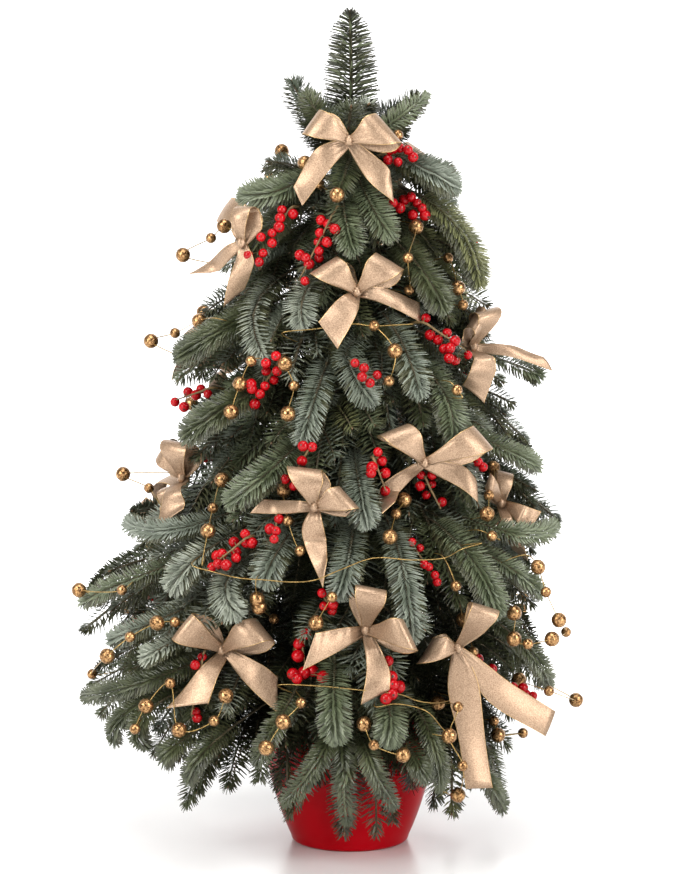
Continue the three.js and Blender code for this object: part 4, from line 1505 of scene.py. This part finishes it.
def addBerry(batch, centre, radius, facing):
    # a round berry, a little drawn in at its far end, where the dry flower is
    rows, columns = berries["rows"], berries["columns"]
    rise = np.linspace(-math.pi / 2, math.pi / 2, rows + 1)[1:-1]
    rise[-1] = math.pi / 2 - berries["endRing"]
    level = np.sin(rise)
    level[-1] *= berries["endLevel"]
    turn = ringAngles(columns)[:, None]
    axis = unit(np.asarray(facing, float))
    side = unit(np.cross(axis, berries["across"]))
    other = np.cross(axis, side)
    ring = np.cos(rise)[:, None, None] * (np.cos(turn) * side + np.sin(turn) * other)
    ring = ring + level[:, None, None] * axis
    points = centre + radius * np.concatenate([ring.reshape(-1, 3), [-axis], [axis * berries["endDip"]]])
    batch.add(points, gridQuads(rows - 1, columns, closed=True), endCaps(rows - 1, columns),
              triangleKinds=np.repeat([0, 1], columns))


def growCluster(fruit, stalks, place, local, twig, size, rng):
    root = np.array([[*twig[0][:2] * clusterTwig["rootSpread"], -clusterTwig["root"]]])
    line = place.toTree(smoothPath(np.concatenate([root, twig]), clusterTwig["rings"]))
    addTube(stalks, line, np.linspace(*clusterTwig["radii"], len(line)), clusterTwig["sides"])
    outer = line[clusterTwig["bareRings"]:]
    for spot in local:
        centre = place.toTree(spot)
        nearest = outer[np.argmin(np.linalg.norm(outer - centre, axis=1))]
        away = unit(centre - nearest)
        radius = berries["radius"] * size * (1 + rng.uniform(-1, 1) * berries["spread"])
        facing = unit(away + rng.uniform(-berries["turned"], berries["turned"], 3))
        bow = (nearest + centre) / 2 + upward * stalkSizes["rise"]
        stalk = smoothPath([nearest, bow, centre - away * radius * stalkSizes["sunk"]], stalkSizes["rings"])
        addTube(stalks, stalk, stalkSizes["radius"])
        addBerry(fruit, centre, radius, facing)


def twigLine(ends):
    return mixed(ends[0], ends[1], np.linspace(0, 1, clusterTwig["places"])[:, None])


def berryPieces():
    rng = np.random.default_rng(berries["seed"])
    fruit, stalks = Batch(), Batch()
    shapes = {}
    for name, cluster in berryClusters.items():
        spots = np.array(cluster["spots"], float)
        middle = spots.mean(0)
        seats = np.array([seatPixel(u, v, berries["lift"]) for u, v in spots])
        depths = np.linalg.norm(seats - eye, axis=1)
        usual = np.quantile(depths, berries["usualDepth"])
        ray = np.array(pixelRay(*middle))
        place = Place(eye + ray * usual, berries["facing"], berries["slope"])
        near = np.clip(depths, usual - berries["bend"], usual + berries["bend"])
        near += rng.uniform(-1, 1, len(near)) * berries["uneven"]
        local = place.fromPoint(eye + (seats - eye) * (near / depths)[:, None])
        if "twig" in cluster:
            twig = twigLine([place.fromPixel(u, v) for u, v in cluster["twig"]])
            twig[:, 2] = clusterTwig["front"]
        else:
            # through the middle of the berries, along their longer way
            centre = local[:, :2].mean(0)
            heading = np.linalg.svd(local[:, :2] - centre)[2][0]
            if heading[1] < 0:
                heading = -heading
            reach = (local[:, :2] - centre) @ heading
            ends = [reach.max() + clusterTwig["past"], reach.min() * clusterTwig["share"]]
            twig = twigLine(centre + np.outer(ends, heading))
            twig = np.concatenate([twig, np.full((len(twig), 1), -clusterTwig["behind"])], -1)
        shapes[name] = (local, twig, cluster.get("size", 1.0))
        growCluster(fruit, stalks, place, *shapes[name], rng)
    for name, direction, level in moreClusters:
        place = Place(seatAround(math.radians(direction), level, berries["lift"]), 0, berries["slope"])
        growCluster(fruit, stalks, place, *shapes[name], rng)
    materials = [nodeSurface("berryRed", berryLook), nodeSurface("berryTip", berryTipLook)]
    piece = fruit.piece("berries", materials)
    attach(piece, "root")
    twigs = stalks.piece("berry_twigs", [nodeSurface("stalkBrown", stalkLook)])
    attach(twigs, "root")
    print("berry triangles", fruit.triangleCount(), "stalks", stalks.triangleCount())


berryPieces()
wires = Batch()
bowPieces(wires)
beadPieces(wires)
wirePiece = wires.piece("bead_wires", [nodeSurface("wireGold", wireLook)])
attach(wirePiece, "root")
print("wire triangles", wires.triangleCount())

# Floor, sweep and light
sweepLook = {"near": 0.3, "far": 1.1, "glowNear": 0.0, "glowFar": 1.0, "wall": 2.2, "wallRadius": 1.2,
             "width": 12.0, "floor": (-6.0, -1.0, 0.0, 1.0), "top": 6.0, "steps": 24, "below": 0.0002}
sweepPaper = {"dark": (0.84, 0.84, 0.84), "light": (0.87, 0.87, 0.87), "mottleScale": 3, "roughness": 0.24,
              "roughnessSpread": 0.01, "specular": 0.35}


def sweepMaterial():
    # white paper that glows more and more towards the back, from none near the pot: painted light, not a lamp
    material = nodeSurface("sweepWhite", sweepPaper)
    nodes, links = material.node_tree.nodes, material.node_tree.links
    shader = nodes["Principled BSDF"]
    shader.inputs["Emission Color"].default_value = (1, 1, 1, 1)
    place = nodes.new("ShaderNodeTexCoord")
    away = nodes.new("ShaderNodeVectorMath")
    away.operation = "LENGTH"
    links.new(place.outputs["Object"], away.inputs[0])
    glow = nodes.new("ShaderNodeMapRange")
    glow.interpolation_type = "SMOOTHSTEP"
    glow.inputs["From Min"].default_value = sweepLook["near"]
    glow.inputs["From Max"].default_value = sweepLook["far"]
    glow.inputs["To Min"].default_value = sweepLook["glowNear"]
    glow.inputs["To Max"].default_value = sweepLook["glowFar"]
    links.new(away.outputs["Value"], glow.inputs["Value"])
    links.new(glow.outputs["Result"], shader.inputs["Emission Strength"])
    return material


def sweepPiece():
    turn = np.linspace(0, math.pi / 2, sweepLook["steps"])
    radius = sweepLook["wallRadius"]
    arc = [(sweepLook["wall"] + radius * math.sin(a), radius * (1 - math.cos(a))) for a in turn]
    profile = [(y, 0.0) for y in sweepLook["floor"]] + arc + [(sweepLook["wall"] + radius, sweepLook["top"])]
    across = np.linspace(-sweepLook["width"] / 2, sweepLook["width"] / 2, 3)
    points = np.array([(x, y, z) for y, z in profile for x in across])
    piece = meshPiece("floor_sweep", points, gridQuads(len(profile), 3)[..., ::-1], [], [sweepMaterial()])
    piece.location.z = -sweepLook["below"]


sweepPiece()

lights = {
    "keyLeft": {"place": (-1.5, -1.5, 1.3), "size": (0.8, 1.3), "watts": 46, "colour": (1.0, 0.98, 0.95)},
    "fillRight": {"place": (1.6, -1.3, 1.0), "size": (0.8, 1.3), "watts": 38, "colour": (1.0, 0.98, 0.96)},
    "top": {"place": (0.0, -0.6, 2.3), "size": (1.2, 1.2), "watts": 31, "colour": (1.0, 1.0, 1.0)},
}
lightTarget = Vector((0, 0, 0.3))
for name, light in lights.items():
    lightData = bpy.data.lights.new(name, "AREA")
    lightData.shape = "RECTANGLE"
    lightData.size, lightData.size_y = light["size"]
    lightData.energy = light["watts"]
    lightData.color = light["colour"]
    lamp = bpy.data.objects.new(name, lightData)
    lamp.location = light["place"]
    lamp.rotation_mode = "QUATERNION"
    lamp.rotation_quaternion = (lightTarget - lamp.location).to_track_quat("-Z", "Y")
    scene.collection.objects.link(lamp)

worldLook = {"colour": (1.0, 0.99, 0.97), "strength": 0.24}
world = bpy.data.worlds.new("studio")
world.use_nodes = True
background = world.node_tree.nodes["Background"]
background.inputs["Color"].default_value = (*worldLook["colour"], 1)
background.inputs["Strength"].default_value = worldLook["strength"]
scene.world = world
scene.view_settings.view_transform = "Standard"
scene.view_settings.exposure = 0.0
